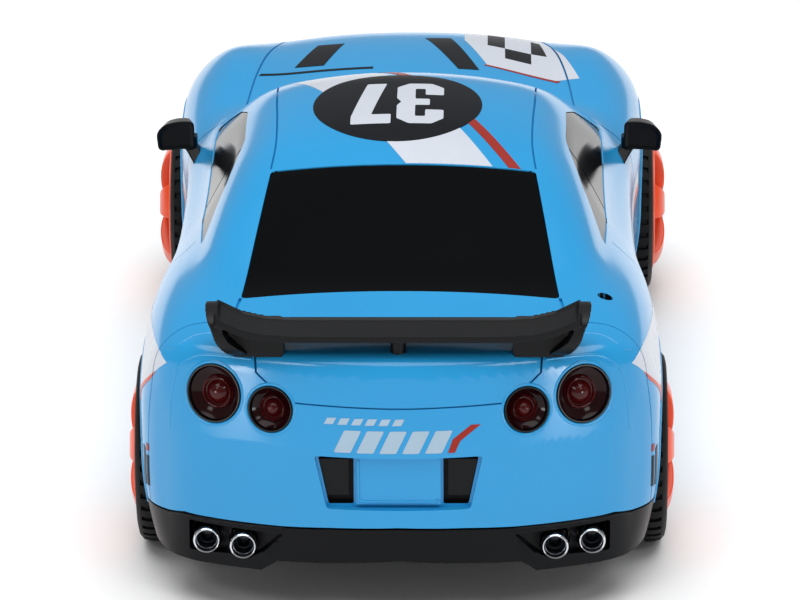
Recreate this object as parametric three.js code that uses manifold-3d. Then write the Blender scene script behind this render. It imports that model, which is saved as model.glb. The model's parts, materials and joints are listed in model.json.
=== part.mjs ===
// Radio-controlled touring coupe, about 1:24 scale, four-wheel drive.
// Millimetres, +Z up, +Y towards the nose, +X to the car's right.
// The wheels stand on z = 0 and the origin is under the middle of the car.
import * as THREE from "three";
import { mergeVertices } from "three/addons/utils/BufferGeometryUtils.js";
import Module from "manifold-3d";

const wasm = await Module();
wasm.setup();

// ---- driving dimensions -------------------------------------------------
const GAP = 0.3; // clearance between neighbouring pieces
const SKIN = 1.9; // wall of the moulded body
const REAR_AXLE_Y = -59.3;
const FRONT_AXLE_Y = 56.5;
const TYRE_R = 14.8;
const AXLE_Z = TYRE_R;
const TYRE_W = 11;
const RIM_R = 11.0;
const REAR_TYRE_OUT = 40.4; // outer face of the rear tyre from the centre line
const FRONT_TYRE_OUT = 42.0;
const REAR_ARCH_R = 16.9;
const FRONT_ARCH_R = 18.5;
const SPOKES = 5;
const KINGPIN_X = 28.5;
const ARM = 11; // steering arm, kingpin to tie rod pin
const TOOTH = 0.5; // gear module
const PINION_TEETH = 12;
const CROWN_TEETH = 24;
const SPUR_TEETH = 32;
const MOTOR_TEETH = 16;
const PLATE = [4.0, 5.8]; // chassis floor, bottom and top
const LAMP_OUT = { x: 27.3, z: 34.6, r: 4.25 };
const LAMP_IN = { x: 18.85, z: 33.4, r: 3.4 };
const EXHAUSTS = [[28.6, -91.3], [23.1, -93.5]]; // x and the y of the tip's mouth
const EXHAUST_Z = 11.9;

// ---- materials ----------------------------------------------------------
const finish = (hex, roughness, metalness = 0) =>
  new THREE.MeshStandardMaterial({ color: hex, roughness, metalness });
const LOOKS = {
  paint: [0x4ab4ee, 0.25],
  black: [0x0e121d, 0.5],
  satin: [0x06070b, 0.35],
  window: [0x07080a, 0.08],
  lamp: [0x5a0c10, 0.12],
  clear: [0xd8dde2, 0.1],
  orange: [0xf06a35, 0.35],
  rubber: [0x101114, 0.8],
  chrome: [0xdfe2e6, 0.12, 1],
  steel: [0xb4b8bc, 0.3, 1],
  chassis: [0x1c1d20, 0.6],
  gear: [0xe8e6dc, 0.5],
  motor: [0xb9bcc0, 0.35, 1],
  battery: [0x2b4f9e, 0.4],
  board: [0x1f6b3a, 0.5],
};

// ---- solids -------------------------------------------------------------
function solid(geometry) {
  const bare = geometry.index ? geometry.toNonIndexed() : geometry;
  const g = new THREE.BufferGeometry();
  g.setAttribute("position", bare.getAttribute("position"));
  const m = mergeVertices(g, 1e-4);
  const made = (triVerts) =>
    new wasm.Manifold(
      new wasm.Mesh({ numProp: 3, vertProperties: m.attributes.position.array, triVerts }),
    );
  const faces = new Uint32Array(m.index.array);
  const first = made(faces);
  return first.volume() > 0 ? first : made(faces.slice().reverse());
}

function geometryOf(body) {
  const mesh = body.getMesh();
  const g = new THREE.BufferGeometry();
  g.setAttribute("position", new THREE.BufferAttribute(mesh.vertProperties, 3));
  g.setIndex(new THREE.BufferAttribute(mesh.triVerts, 1));
  const flat = g.toNonIndexed();
  flat.computeVertexNormals();
  return flat;
}

// The one main body of a cut solid, without slivers that a cut leaves loose or sealed in.
const whole = (body) => body.simplify(0.03).decompose().sort((a, b) => b.volume() - a.volume())[0];
const all = (parts) => parts.reduce((a, b) => a.add(b));

function box(x0, x1, y0, y1, z0, z1) {
  const g = new THREE.BoxGeometry(x1 - x0, y1 - y0, z1 - z0);
  g.translate((x0 + x1) / 2, (y0 + y1) / 2, (z0 + z1) / 2);
  return solid(g);
}

// A cylinder or cone along one axis, from a to b on that axis; at holds the other two.
function rod(axis, a, b, at, r, n = 20, r2 = r) {
  const g = new THREE.CylinderGeometry(r2, r, b - a, n);
  g.translate(0, (a + b) / 2, 0);
  if (axis === "x") g.rotateZ(-Math.PI / 2);
  if (axis === "z") g.rotateX(Math.PI / 2);
  const [u, v] = at;
  if (axis === "x") g.translate(0, u, v);
  if (axis === "y") g.translate(u, 0, v);
  if (axis === "z") g.translate(u, v, 0);
  return solid(g);
}

// A polygon carried along an axis: "z" takes points (x, y), "y" (x, z) and "x" (y, z).
function prism(axis, points, a, b) {
  const flat = points.map(([u, v]) => new THREE.Vector2(u, v));
  const g = new THREE.ExtrudeGeometry(new THREE.Shape(flat), {
    depth: b - a,
    bevelEnabled: false,
  });
  g.translate(0, 0, a);
  const m = new THREE.Matrix4();
  if (axis === "x") m.set(0, 0, 1, 0, 1, 0, 0, 0, 0, 1, 0, 0, 0, 0, 0, 1);
  if (axis === "y") m.set(1, 0, 0, 0, 0, 0, -1, a + b, 0, 1, 0, 0, 0, 0, 0, 1);
  g.applyMatrix4(m);
  return solid(g);
}

// A profile of (x, r) points, closed on itself, turned about an X axis through (y, z).
function turned(profile, y, z, n = 28) {
  const points = profile.map(([x, r]) => new THREE.Vector2(r, x));
  points.push(points[0].clone());
  const g = new THREE.LatheGeometry(points, n);
  g.rotateZ(-Math.PI / 2);
  g.translate(0, y, z);
  return solid(g);
}

const mirrored = (points) => points.map(([u, v]) => [-u, v]).reverse();

// ---- the body's form ----------------------------------------------------
// A smooth line through [at, value] knots, flat past its ends.
function line(v, knots) {
  const n = knots.length;
  const t0 = Math.min(Math.max(v, knots[0][0]), knots[n - 1][0]);
  let i = 0;
  while (i < n - 2 && t0 > knots[i + 1][0]) i++;
  const slope = (k) => (knots[k + 1][1] - knots[k][1]) / (knots[k + 1][0] - knots[k][0]);
  const at = (k) =>
    k === 0 ? slope(0) : k === n - 1 ? slope(n - 2) : (slope(k) + slope(k - 1)) / 2;
  const h = knots[i + 1][0] - knots[i][0];
  const t = (t0 - knots[i][0]) / h;
  const [a, b] = [knots[i][1], knots[i + 1][1]];
  return (
    (2 * t ** 3 - 3 * t ** 2 + 1) * a + (t ** 3 - 2 * t ** 2 + t) * h * at(i) +
    (-2 * t ** 3 + 3 * t ** 2) * b + (t ** 3 - t ** 2) * h * at(i + 1)
  );
}

// The larger and the smaller of two distances, with a fillet of size r between them.
const outer = (a, b, r) => Math.max(a, b) + Math.max(r - Math.abs(a - b), 0) ** 2 / (4 * r);
const inner = (a, b, r) => -outer(-a, -b, r);

// Half width at the waist and height of the deck and bonnet along the car.
const WAIST = [
  [-97, 36.2], [-84, 38.0], [-72, 39.2], [-59, 39.6], [-44, 39.0], [-22, 37.2], [0, 36.8],
  [22, 37.4], [42, 39.2], [56, 39.8], [68, 39.0], [80, 36.6], [90, 32.5], [97, 29],
];
const DECK = [
  [-97, 41.2], [-94, 41.6], [-74, 43.6], [-50, 42.5], [-20, 40.0], [15, 40.0], [34, 41.6],
  [50, 42.4], [65, 42.0], [76, 40.2], [86, 36.6], [97, 30],
];

function cabin(ax, y, z) {
  const roof = z - (57 - 0.003 * (y + 12) ** 2 - 0.004 * ax * ax);
  const rear = (z - (43.7 + 0.3 * (y + 73.7) - 0.0022 * ax * ax)) * 0.955;
  const screen = (z - (41.3 + 0.42 * (38 - y) - 0.0065 * ax * ax)) * 0.92;
  const lean = 0.53 * (z - 39) + 0.03 * Math.max(-30 - y, 0) + 0.03 * Math.max(y - 12, 0);
  const side = (ax - 33.6 + lean) * 0.865;
  return outer(outer(outer(roof, rear, 2), screen, 3), side, 4);
}

// Below zero inside the car's outer form, and close to a distance near its surface.
function form(x, y, z) {
  const ax = Math.abs(x);
  const high = Math.max(z - 27, 0);
  const low = Math.max(20 - z, 0);
  let side = ax - (line(y, WAIST) - 0.017 * high ** 2 - 0.012 * low ** 2);
  side /= Math.sqrt(1 + (0.034 * high) ** 2);
  const crown = (3 + 2.2 * Math.min(Math.max((y - 30) / 40, 0), 1)) * (ax / 38) ** 2.2;
  const wing = 2 * Math.exp(-(((ax - 31) / 6) ** 2) - ((y - 60) / 18) ** 2);
  const hip = 1.6 * Math.exp(-(((ax - 33) / 6) ** 2) - ((y + 60) / 20) ** 2);
  const top = z - (line(y, DECK) - crown + wing + hip);
  const tail = -(y + 96.8) + 0.0085 * ax * ax + 0.16 * Math.max(z - 28, 0);
  const corner = (ax - 32) * 0.8 - (y + 88.3) * 0.6;
  const rise = Math.max(z - 18, 0);
  const nose = (y - 96.8 + 0.01 * ax * ax + 0.026 * rise ** 2) /
    Math.sqrt(1 + (0.052 * rise) ** 2);
  const main = outer(side, inner(top, cabin(ax, y, z), 3), 5);
  return outer(outer(main, outer(tail, corner, 1.6), 2.2), nose, 6);
}

// Distance from p along d at which the form reaches level; the floor closes it below.
function reach(p, d, level, floor) {
  const value = (t) => {
    const [x, y, z] = p.map((v, i) => v + d[i] * t);
    return Math.max(form(x, y, z) - level, floor - z);
  };
  let hi = 1;
  while (value(hi) < 0 && hi < 200) hi += 1;
  let lo = hi - 1;
  for (let k = 0; k < 26; k++) {
    const mid = (lo + hi) / 2;
    if (value(mid) < 0) lo = mid;
    else hi = mid;
  }
  return hi;
}

// The closed surface at one level of the form: rings of rays from a line along the car,
// with a fan of rays at each end.
function skin(level, stations, halfRing, fan, floor) {
  const ring = [...halfRing, ...halfRing.slice(1, -1).reverse().map((a) => 180 - a)];
  const rad = Math.PI / 180;
  const rings = [];
  const cast = (y, lift) =>
    ring.map((a) => {
      const c = Math.cos(lift * rad);
      const d = [Math.cos(a * rad) * c, Math.sin(lift * rad), Math.sin(a * rad) * c];
      const t = reach([0, y, 14], d, level, floor);
      return [d[0] * t, y + d[1] * t, 14 + d[2] * t];
    });
  const [first, last] = [stations[0], stations[stations.length - 1]];
  for (const lift of [...fan].reverse()) rings.push(cast(first, -lift));
  for (const y of stations) rings.push(cast(y, 0));
  for (const lift of fan) rings.push(cast(last, lift));
  const pole = (y, s) => [0, y + s * reach([0, y, 14], [0, s, 0], level, floor), 14];
  const [start, end] = [pole(first, -1), pole(last, 1)];
  const n = ring.length;
  const corners = [];
  for (let k = 0; k < n; k++) {
    const m = (k + 1) % n;
    corners.push(start, rings[0][k], rings[0][m]);
    for (let j = 0; j + 1 < rings.length; j++) {
      const [a, b] = [rings[j], rings[j + 1]];
      corners.push(a[k], b[m], a[m], a[k], b[k], b[m]);
    }
    const z = rings[rings.length - 1];
    corners.push(end, z[m], z[k]);
  }
  const g = new THREE.BufferGeometry();
  g.setAttribute("position", new THREE.Float32BufferAttribute(corners.flat(), 3));
  const made = solid(g);
  return made;
}

const FINE_Y = [-72, -63, -54, -46, -39, -31, -21, -10, 0, 4, 10, 19, 28, 36, 46, 56, 65, 74];
const FINE_RING = [-90, -38, -14, 2, 16, 28, 36, 42, 47, 52, 57, 65, 77, 90];
const FINE_FAN = [16, 31, 43, 53, 64, 76];
const COARSE_Y = [-72, -56, -40, -24, -8, 4, 18, 34, 54, 74];
const COARSE_RING = [-90, -38, -20, -4, 14, 30, 42, 52, 68, 90];
const COARSE_FAN = [24, 44, 60, 76];

const OUTSIDE = skin(0, FINE_Y, FINE_RING, FINE_FAN, 3);
const INSIDE = skin(-SKIN, COARSE_Y, COARSE_RING, COARSE_FAN, 3.5);
const SHELL = OUTSIDE.subtract(INSIDE).subtract(box(-60, 60, -120, 120, -5, 6.5));

// ---- body, glazing and lamps --------------------------------------------
// Where the painted bumper ends and the black diffuser begins, seen from behind.
const SPLIT = [[0, 16.2], [10, 15.9], [17, 15.5], [25, 15.3], [32, 15.2], [34.6, 14.4], [50, 11.6]];
const DIFFUSER_EDGE = [[0, 10.9], [18.1, 9.8], [20.4, 8.1], [33.8, 7.7], [50, 9.2]];

function band(low, high, shiftLow, shiftHigh) {
  const up = (p, s) => p.map(([x, z]) => [x, z + s]);
  const both = (p) => [...mirrored(p.slice(1)), ...p];
  return [...both(up(low, shiftLow)), ...both(up(high, shiftHigh)).reverse()];
}

const REAR_GLASS = [[-23.9, -72.6], [23.9, -72.6], [20.5, -39.5], [-20.5, -39.5]];
const SCREEN_GLASS = [
  [-20.6, 6.5], [20.6, 6.5], [25.8, 32], [13, 34.6], [0, 35.4], [-13, 34.6], [-25.8, 32],
];
const SIDE_GLASS = [
  [20, 40.6], [6, 47.8], [-3, 50.6], [-20, 51.2], [-33, 48.6], [-46, 42.6], [-30, 41.2],
  [0, 40.4],
];
const PLATE_RECESS = [[-12.7, 27.2], [-11.1, 19.7], [11.1, 19.7], [12.7, 27.2]];
const VENT = [[7, 26.6], [7, 20.3], [10.7, 20.3], [12.0, 26.6]];

// Moves a polygon's points towards its middle, so that a pane leaves a gap in its hole.
function shrunk(points, by) {
  const out = [];
  const n = points.length;
  const area = points.reduce((s, [x, y], i) => {
    const [p, q] = points[(i + 1) % n];
    return s + x * q - p * y;
  }, 0);
  const turn = Math.sign(area);
  for (let i = 0; i < n; i++) {
    const [a, b, c] = [points[(i + n - 1) % n], points[i], points[(i + 1) % n]];
    const u = new THREE.Vector2(b[0] - a[0], b[1] - a[1]).normalize();
    const v = new THREE.Vector2(c[0] - b[0], c[1] - b[1]).normalize();
    const nu = new THREE.Vector2(-u.y, u.x).multiplyScalar(turn);
    const nv = new THREE.Vector2(-v.y, v.x).multiplyScalar(turn);
    const k = by / (1 + nu.dot(nv));
    out.push([b[0] + (nu.x + nv.x) * k, b[1] + (nu.y + nv.y) * k]);
  }
  return out;
}

const sideWindow = (s, by) => {
  const p = prism("x", shrunk(SIDE_GLASS, by), 20, 45);
  return s > 0 ? p : prism("x", shrunk(SIDE_GLASS, by), -45, -20);
};
const archHoles = () =>
  rod("x", -60, 60, [REAR_AXLE_Y, AXLE_Z], REAR_ARCH_R, 36)
    .add(rod("x", -60, 60, [FRONT_AXLE_Y, AXLE_Z], FRONT_ARCH_R, 36));

const BOSSES = [[-21, -73.5], [21, -73.5], [-21, 80], [21, 80]];

function bodyShell() {
  const backing = box(-14, 14, -96, -91, 18.4, 28.6).intersect(OUTSIDE);
  const bosses = all(BOSSES.map(([x, y]) => rod("z", 14.9, 60, [x, y], 3, 16)));
  let body = SHELL.add(backing).add(bosses.intersect(OUTSIDE));
  const tailCut = prism("y", band([[0, -5], [50, -5]], SPLIT, 0, 0), -120, -59);
  const sillCut = box(-60, 60, -59.5, 120, -5, 8.2);
  const cuts = [
    tailCut, sillCut, archHoles(),
    prism("z", REAR_GLASS, 38, 62), prism("z", SCREEN_GLASS, 38, 62),
    sideWindow(1, 0), sideWindow(-1, 0),
    prism("y", PLATE_RECESS, -110, -94.7).subtract(box(-6.5, 6.5, -95.6, -90, 20.2, 26.8)),
    prism("y", VENT, -110, -93.3), prism("y", mirrored(VENT), -110, -93.3),
    rod("z", 35, 60, [30.7, -70.2], 1.1, 16),
    prism("y", GRILLE, 90, 110), prism("y", INTAKE, 86, 110),
    ...BOSSES.map(([x, y]) => rod("z", 10, 26, [x, y], 1.4, 12)),
  ];
  for (const s of [-1, 1]) {
    cuts.push(rod("y", -110, -80, [s * LAMP_OUT.x, LAMP_OUT.z], LAMP_OUT.r + GAP, 24));
    cuts.push(rod("y", -110, -80, [s * LAMP_IN.x, LAMP_IN.z], LAMP_IN.r + GAP, 24));
    cuts.push(prism("y", s > 0 ? HEADLAMP : mirrored(HEADLAMP), 66, 110));
  }
  for (const cut of cuts) body = body.subtract(cut);
  return body;
}

// A piece of the shell inside a prism, for panes and lenses.
const pane = (cutter) => SHELL.intersect(cutter);

// A nose panel with level slots between its bottom and top.
function louvred(outline, low, high, slots) {
  let panel = pane(prism("y", shrunk(outline, GAP), 80, 110));
  const step = (high - low) / (slots + 1);
  for (let k = 1; k <= slots; k++) {
    const z = low + k * step;
    const reach = 8 - (outline === INTAKE ? -5 : 0);
    for (const s of [-1, 1])
      panel = panel.subtract(
        box(...(s > 0 ? [0.5, reach] : [-reach, -0.5]), 70, 110, z - step * 0.3, z + step * 0.3));
  }
  return panel;
}

// Nose openings, seen from ahead: upper grille, lower intake and a head lamp.
const GRILLE = [[-9, 22.5], [9, 22.5], [10.5, 26.5], [-10.5, 26.5]];
const INTAKE = [[-19, 11], [19, 11], [16, 19], [-16, 19]];
const HEADLAMP = [[19.5, 24.6], [29.5, 27.2], [31.2, 32.4], [25.6, 31.6], [19.8, 28.2]];

// Plan lines inside the tail: the diffuser's hollow, and the floor of its exhaust pockets.
const HOLLOW = [[0, -93.4], [14, -91.4], [22, -88.4], [29, -84.4], [32, -79], [32, -70]];
const POCKET_FLOOR = [[0, -95.4], [16.5, -93.0], [24, -90.4], [31.4, -86.4], [34, -70]];
const POCKET = [[31.3, 14.2], [31.3, 9.4], [21, 10.4], [17, 14.2]];

function diffuser() {
  const plan = (half) => [...mirrored(half.slice(1)), ...half];
  const under = band(DIFFUSER_EDGE, SPLIT, 0, -GAP);
  let body = OUTSIDE.intersect(prism("y", under, -120, -77.2))
    .subtract(prism("z", plan(HOLLOW), -5, 30));
  const wedge = [[-77.2, 8.6], [-94.2, 11.2], [-94.2, 12.9], [-77.2, 10.3]];
  body = body.add(prism("x", wedge, -22, 22));
  const floor = prism("z", plan(POCKET_FLOOR), -5, 30);
  for (const s of [-1, 1]) {
    const edge = prism("y", s > 0 ? POCKET : mirrored(POCKET), -120, -80);
    body = body.subtract(edge.subtract(floor));
    for (const [x] of EXHAUSTS)
      body = body.subtract(rod("y", -110, -70, [s * x, EXHAUST_Z], 2.3, 16));
    for (const x of [5, 11.5]) {
      const fin = [[-79, 7.6], [-93, 9.6], [-93, 11.5], [-79, 9.6]];
      body = body.add(prism("x", fin, s * x - 0.6, s * x + 0.6));
    }
  }
  return body;
}

function exhaustTip(x, mouth) {
  const out = rod("y", mouth, mouth + 8, [x, EXHAUST_Z], 2.0, 16);
  return out.subtract(rod("y", mouth - 1, mouth + 6, [x, EXHAUST_Z], 1.6, 16));
}

// A closed solid through rings of points that all have the same count.
function loft(rings) {
  const n = rings[0].length;
  const corners = [];
  for (let k = 1; k + 1 < n; k++) {
    corners.push(rings[0][0], rings[0][k + 1], rings[0][k]);
    const z = rings[rings.length - 1];
    corners.push(z[0], z[k], z[k + 1]);
  }
  for (let j = 0; j + 1 < rings.length; j++)
    for (let k = 0; k < n; k++) {
      const m = (k + 1) % n;
      const [a, b] = [rings[j], rings[j + 1]];
      corners.push(a[k], a[m], b[m], a[k], b[m], b[k]);
    }
  const g = new THREE.BufferGeometry();
  g.setAttribute("position", new THREE.Float32BufferAttribute(corners.flat(), 3));
  const made = solid(g);
  return made;
}

function rearWing() {
  const lift = [[0, 45.5], [16, 45.5], [20, 45.8], [23, 46.5], [25.2, 47.5], [26.8, 48.2]];
  const stations = [...mirrored(lift.slice(1)), ...lift];
  const rings = stations.map(([x, z]) => [
    [x, -94.6, z - 1.25], [x, -90, z - 1.35], [x, -86.6, z - 0.9],
    [x, -86.2, z], [x, -90, z + 0.1], [x, -94.6, z],
  ]);
  let wing = loft(rings);
  for (const s of [-1, 1]) {
    const plate = [
      [-94.4, 41.2], [-94.6, 47.6], [-91, 48.7], [-86.5, 48.9], [-84.8, 47.6], [-86, 44],
      [-88.5, 41.2],
    ];
    const low = [[-94.3, 41.2], [-94.3, 45.4], [-88.6, 45.4], [-88.6, 41.2]];
    const flank = [[24.2, 41.2], [26.2, 48.9], [28, 48.9], [27.4, 45], [25.6, 41.2]];
    const foot = [[17.4, 41.2], [17.4, 44.6], [24.8, 46.2], [25.6, 41.2]];
    const f = s > 0 ? flank : mirrored(flank);
    const g = s > 0 ? foot : mirrored(foot);
    wing = wing.add(prism("x", plate, -40, 40).intersect(prism("y", f, -100, -80)));
    wing = wing.add(prism("x", low, -40, 40).intersect(prism("y", g, -100, -80)));
  }
  wing = wing.add(box(-1.15, 1.15, -93.6, -90.4, 40, 45));
  return wing.subtract(skin(GAP, COARSE_Y, FINE_RING, FINE_FAN, 3));
}

function mirror(s) {
  const head = [[21, 37.2], [23.5, 36.6], [24.2, 39], [23.6, 41.2], [20.6, 41.6], [19.6, 39.4]];
  const rings = [35.9, 37, 40.6, 41.9].map((x, i) => {
    const k = [0.8, 1, 1, 0.72][i];
    return head.map(([y, z]) => [s * x, 21.9 + (y - 21.9) * k, 39.2 + (z - 39.2) * k]);
  });
  const stem = prism("y", [[33, 36.4], [33, 38.8], [37, 39.6], [37, 38]].map(([x, z]) => [s * x, z]),
    19.6, 22.6);
  return loft(rings).add(stem).subtract(skin(GAP, COARSE_Y, FINE_RING, FINE_FAN, 3));
}

// ---- wheels -------------------------------------------------------------
function tyre(s, out, y) {
  const [a, b] = [out - TYRE_W, out];
  const profile = [
    [a, RIM_R + GAP], [a, TYRE_R - 1.2], [a + 1.2, TYRE_R], [b - 1.2, TYRE_R],
    [b, TYRE_R - 1.4], [b, RIM_R + GAP],
  ].map(([x, r]) => [s * x, r]);
  return turned(profile, y, AXLE_Z, 28);
}

function rim(s, out, y, shaft) {
  const [a, b] = [out - TYRE_W + 0.4, out - 0.3];
  const span = (lo, hi) => (s > 0 ? [lo, hi] : [-hi, -lo]);
  const along = (lo, hi, r, n) => rod("x", ...span(lo, hi), [y, AXLE_Z], r, n);
  const barrel = turned(
    [[a, 9.9], [a, RIM_R], [b, RIM_R], [b, 9.9]].map(([x, r]) => [s * x, r]), y, AXLE_Z, 24);
  let wheel = barrel.add(along(b - 6, b, 3.2, 12));
  for (let k = 0; k < SPOKES; k++)
    wheel = wheel.add(spoke(s, b, y, (k / SPOKES) * 2 * Math.PI + 0.25));
  return wheel.subtract(along(a - 5, b + 5, shaft + GAP / 2, 12))
    .subtract(along(b - 1.4, b + 5, 2.6, 12));
}

// One spoke: widest at the rim, standing proud of the tyre near the hub.
function spoke(s, b, y, turn) {
  const rings = [
    [1.6, 1.2, -3.5, 0.2], [2.6, 1.6, -3.2, 1.4], [4.6, 1.9, -2.6, 1.5],
    [7.4, 2.3, -2.2, 1.0], [10.4, 2.7, -2.0, 0.0],
  ].map(([r, w, lo, hi]) =>
    [[-w, lo], [-w, hi - 0.7], [-w * 0.45, hi], [w * 0.45, hi], [w, hi - 0.7], [w, lo]].map(
      ([u, v]) => {
        const [c, d] = [Math.cos(turn), Math.sin(turn)];
        return [s * (b + v), y + r * c - u * d, AXLE_Z + r * d + u * c];
      }));
  return loft(rings);
}

const nut = (s, out, y) => {
  const [lo, hi] = [out - 1.3, out + 0.2];
  return rod("x", s > 0 ? lo : -hi, s > 0 ? hi : -lo, [y, AXLE_Z], 2.2, 6);
};

// ---- gears --------------------------------------------------------------
// Straight teeth round a Y axis; phase turns the first tooth from +X towards +Z.
function spur(teeth, y0, y1, x, z, bore, phase) {
  const pitch = (teeth * TOOTH) / 2;
  const [root, tip] = [pitch - 0.62, pitch + 0.42];
  const step = (2 * Math.PI) / teeth;
  const points = [];
  for (let k = 0; k < teeth; k++)
    for (const [f, r] of [[-0.27, root], [-0.13, tip], [0.13, tip], [0.27, root]]) {
      const a = phase + (k + f) * step;
      points.push([x + r * Math.cos(a), z + r * Math.sin(a)]);
    }
  const g = prism("y", points, y0, y1);
  return bore ? g.subtract(rod("y", y0 - 1, y1 + 1, [x, z], bore, 16)) : g;
}

// A crown gear on an X axis with its teeth facing towards the centre line; s is its side.
function crown(s, y, bore) {
  const pitch = (CROWN_TEETH * TOOTH) / 2;
  const x = CROWN_X;
  const disc = [[x, bore], [x, pitch + 1], [x + 2, pitch + 1], [x + 2, bore]];
  let g = turned(disc.map(([u, r]) => [s * u, r]), y, AXLE_Z, 20);
  for (let k = 0; k < CROWN_TEETH; k++) {
    const a = ((k + 0.5) / CROWN_TEETH) * 2 * Math.PI;
    const [c, d] = [Math.cos(a), Math.sin(a)];
    const at = (v, r, w) => [s * v, y + r * c - w * d, AXLE_Z + r * d + w * c];
    const tooth = loft([5.1, 6.95].map((r) => [
      at(x - 0.95, r, -0.16), at(x - 0.95, r, 0.16), at(x + 0.4, r, 0.36), at(x + 0.4, r, -0.36),
    ]));
    g = g.add(tooth);
  }
  return g;
}

// ---- drive train --------------------------------------------------------
const SHAFT_R = 1.3;
const CROWN_X = 3.65;
const MOTOR_X = -((SPUR_TEETH + MOTOR_TEETH) * TOOTH) / 2;
const MOTOR_Y = [-39.5, -14.5];
const SPUR_Y = [-44, -41];
const CUP = { in: 2.5, out: 3.6, mouth: 1.6, floor: 2.3 };

function propshaft() {
  const reach = (CROWN_TEETH * TOOTH) / 2;
  const rear = REAR_AXLE_Y + reach - 1.2;
  const front = FRONT_AXLE_Y - reach + 1.2;
  return rod("y", rear - 0.2, front + 0.2, [0, AXLE_Z], SHAFT_R, 14)
    .add(spur(PINION_TEETH, rear, rear + 2.2, 0, AXLE_Z, 0, 0))
    .add(spur(PINION_TEETH, front - 2.2, front, 0, AXLE_Z, 0, 0))
    .add(spur(SPUR_TEETH, ...SPUR_Y, 0, AXLE_Z, 0, 0));
}

function motor() {
  const [a, b] = MOTOR_Y;
  const at = [MOTOR_X, AXLE_Z];
  const can = rod("y", a, b, at, 10, 28).intersect(box(-40, 10, a, b, AXLE_Z - 7.6, AXLE_Z + 7.6));
  return can.add(rod("y", a - 1.2, a + 1, at, 3, 16)).add(rod("y", b - 1, b + 2.2, at, 4.6, 16))
    .add(rod("y", SPUR_Y[0] - 0.6, a, at, 1, 12));
}

const motorPinion = () =>
  spur(MOTOR_TEETH, SPUR_Y[0] + 0.1, SPUR_Y[1] - 0.1, MOTOR_X, AXLE_Z, 1.15, Math.PI / MOTOR_TEETH);

// Half shafts in one with the front crown gear's hub, a ball and cross pin at each kingpin.
function frontShaft() {
  const y = FRONT_AXLE_Y;
  let shaft = rod("x", -KINGPIN_X, KINGPIN_X, [y, AXLE_Z], 1.1, 12);
  for (const x of [-KINGPIN_X, KINGPIN_X]) {
    const ball = new THREE.SphereGeometry(1.9, 10, 6);
    ball.translate(x, y, AXLE_Z);
    shaft = shaft.add(solid(ball)).add(rod("z", AXLE_Z - 3.2, AXLE_Z + 3.2, [x, y], 0.5, 8));
  }
  return shaft.add(crown(-1, y, 1.0));
}

// A stub axle whose slotted cup takes the half shaft's cross pin.
function frontStub(s) {
  const y = FRONT_AXLE_Y;
  const span = (lo, hi) => (s > 0 ? [lo, hi] : [-hi, -lo]);
  const along = (lo, hi, r, n) => rod("x", ...span(lo, hi), [y, AXLE_Z], r, n);
  const k = KINGPIN_X;
  const slot = box(...span(k - CUP.mouth - 1, k + 1.9), y - 0.85, y + 0.85, AXLE_Z - 6, AXLE_Z + 6);
  return along(k - CUP.mouth, k + CUP.floor + 1.6, CUP.out, 20)
    .subtract(along(k - CUP.mouth - 1, k + CUP.floor, CUP.in, 16))
    .subtract(slot)
    .add(along(k + CUP.floor + 1, FRONT_TYRE_OUT - 2.2, 1.5, 12));
}

// ---- steering -----------------------------------------------------------
const KNUCKLE_Z = [AXLE_Z - 5.5, AXLE_Z + 5.5];
const ARM_Z = [18.3, 20.1];
const TIE_Z = [20.6, 22.1];
const SERVO_X = -14;
const TIE_Y = FRONT_AXLE_Y - ARM;

function knuckle(s) {
  const [x, y] = [s * KINGPIN_X, FRONT_AXLE_Y];
  const [a, b] = s > 0 ? [x - 1.6, x + 2.8] : [x - 2.8, x + 1.6];
  return box(a, b, y - 5, y + 5, ...KNUCKLE_Z)
    .add(rod("z", KNUCKLE_Z[0] - 2, KNUCKLE_Z[1] + 2, [x, y], 1.2, 12))
    .add(box(x - 1.4, x + 1.4, TIE_Y - 1.4, y - 4, ...ARM_Z))
    .subtract(rod("x", a - 5, b + 5, [y, AXLE_Z], CUP.out + GAP, 20))
    .add(rod("z", ARM_Z[0] + 0.5, TIE_Z[1] + 0.6, [x, TIE_Y], 0.9, 10));
}

function slotHole(x, from, to) {
  const z = [TIE_Z[0] - 1, TIE_Z[1] + 1];
  return box(x - 1.15, x + 1.15, TIE_Y + from, TIE_Y + to, ...z)
    .add(rod("z", ...z, [x, TIE_Y + from], 1.15, 12)).add(rod("z", ...z, [x, TIE_Y + to], 1.15, 12));
}

function tieRod() {
  const k = KINGPIN_X;
  let rodBar = box(-k, k, TIE_Y - 0.9, TIE_Y + 0.9, ...TIE_Z);
  for (const x of [-k, k])
    rodBar = rodBar.add(box(x - 1.7, x + 1.7, TIE_Y - 2.2, TIE_Y + 2.5, ...TIE_Z))
      .subtract(slotHole(x, 0, 0.6));
  return rodBar.add(box(SERVO_X - 2.4, SERVO_X + 2.4, TIE_Y - 3, TIE_Y + 2.2, ...TIE_Z))
    .subtract(slotHole(SERVO_X, -0.6, 0));
}

const SERVO = { x: [-22, -6], y: [23, 38.5], z: [6.1, 17.2], axis: TIE_Y - ARM };

function servo() {
  const { x, y, z, axis } = SERVO;
  return box(...x, ...y, ...z)
    .add(box(x[0] - 3.4, x[1] + 1, y[0] + 3, y[1] - 3, 12.4, 13.8))
    .add(rod("z", z[1] - 1, z[1] + 0.8, [SERVO_X, axis], 3.4, 20))
    .subtract(rod("z", z[1] - 3, z[1] + 3, [SERVO_X, axis], 1.5, 16));
}

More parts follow.
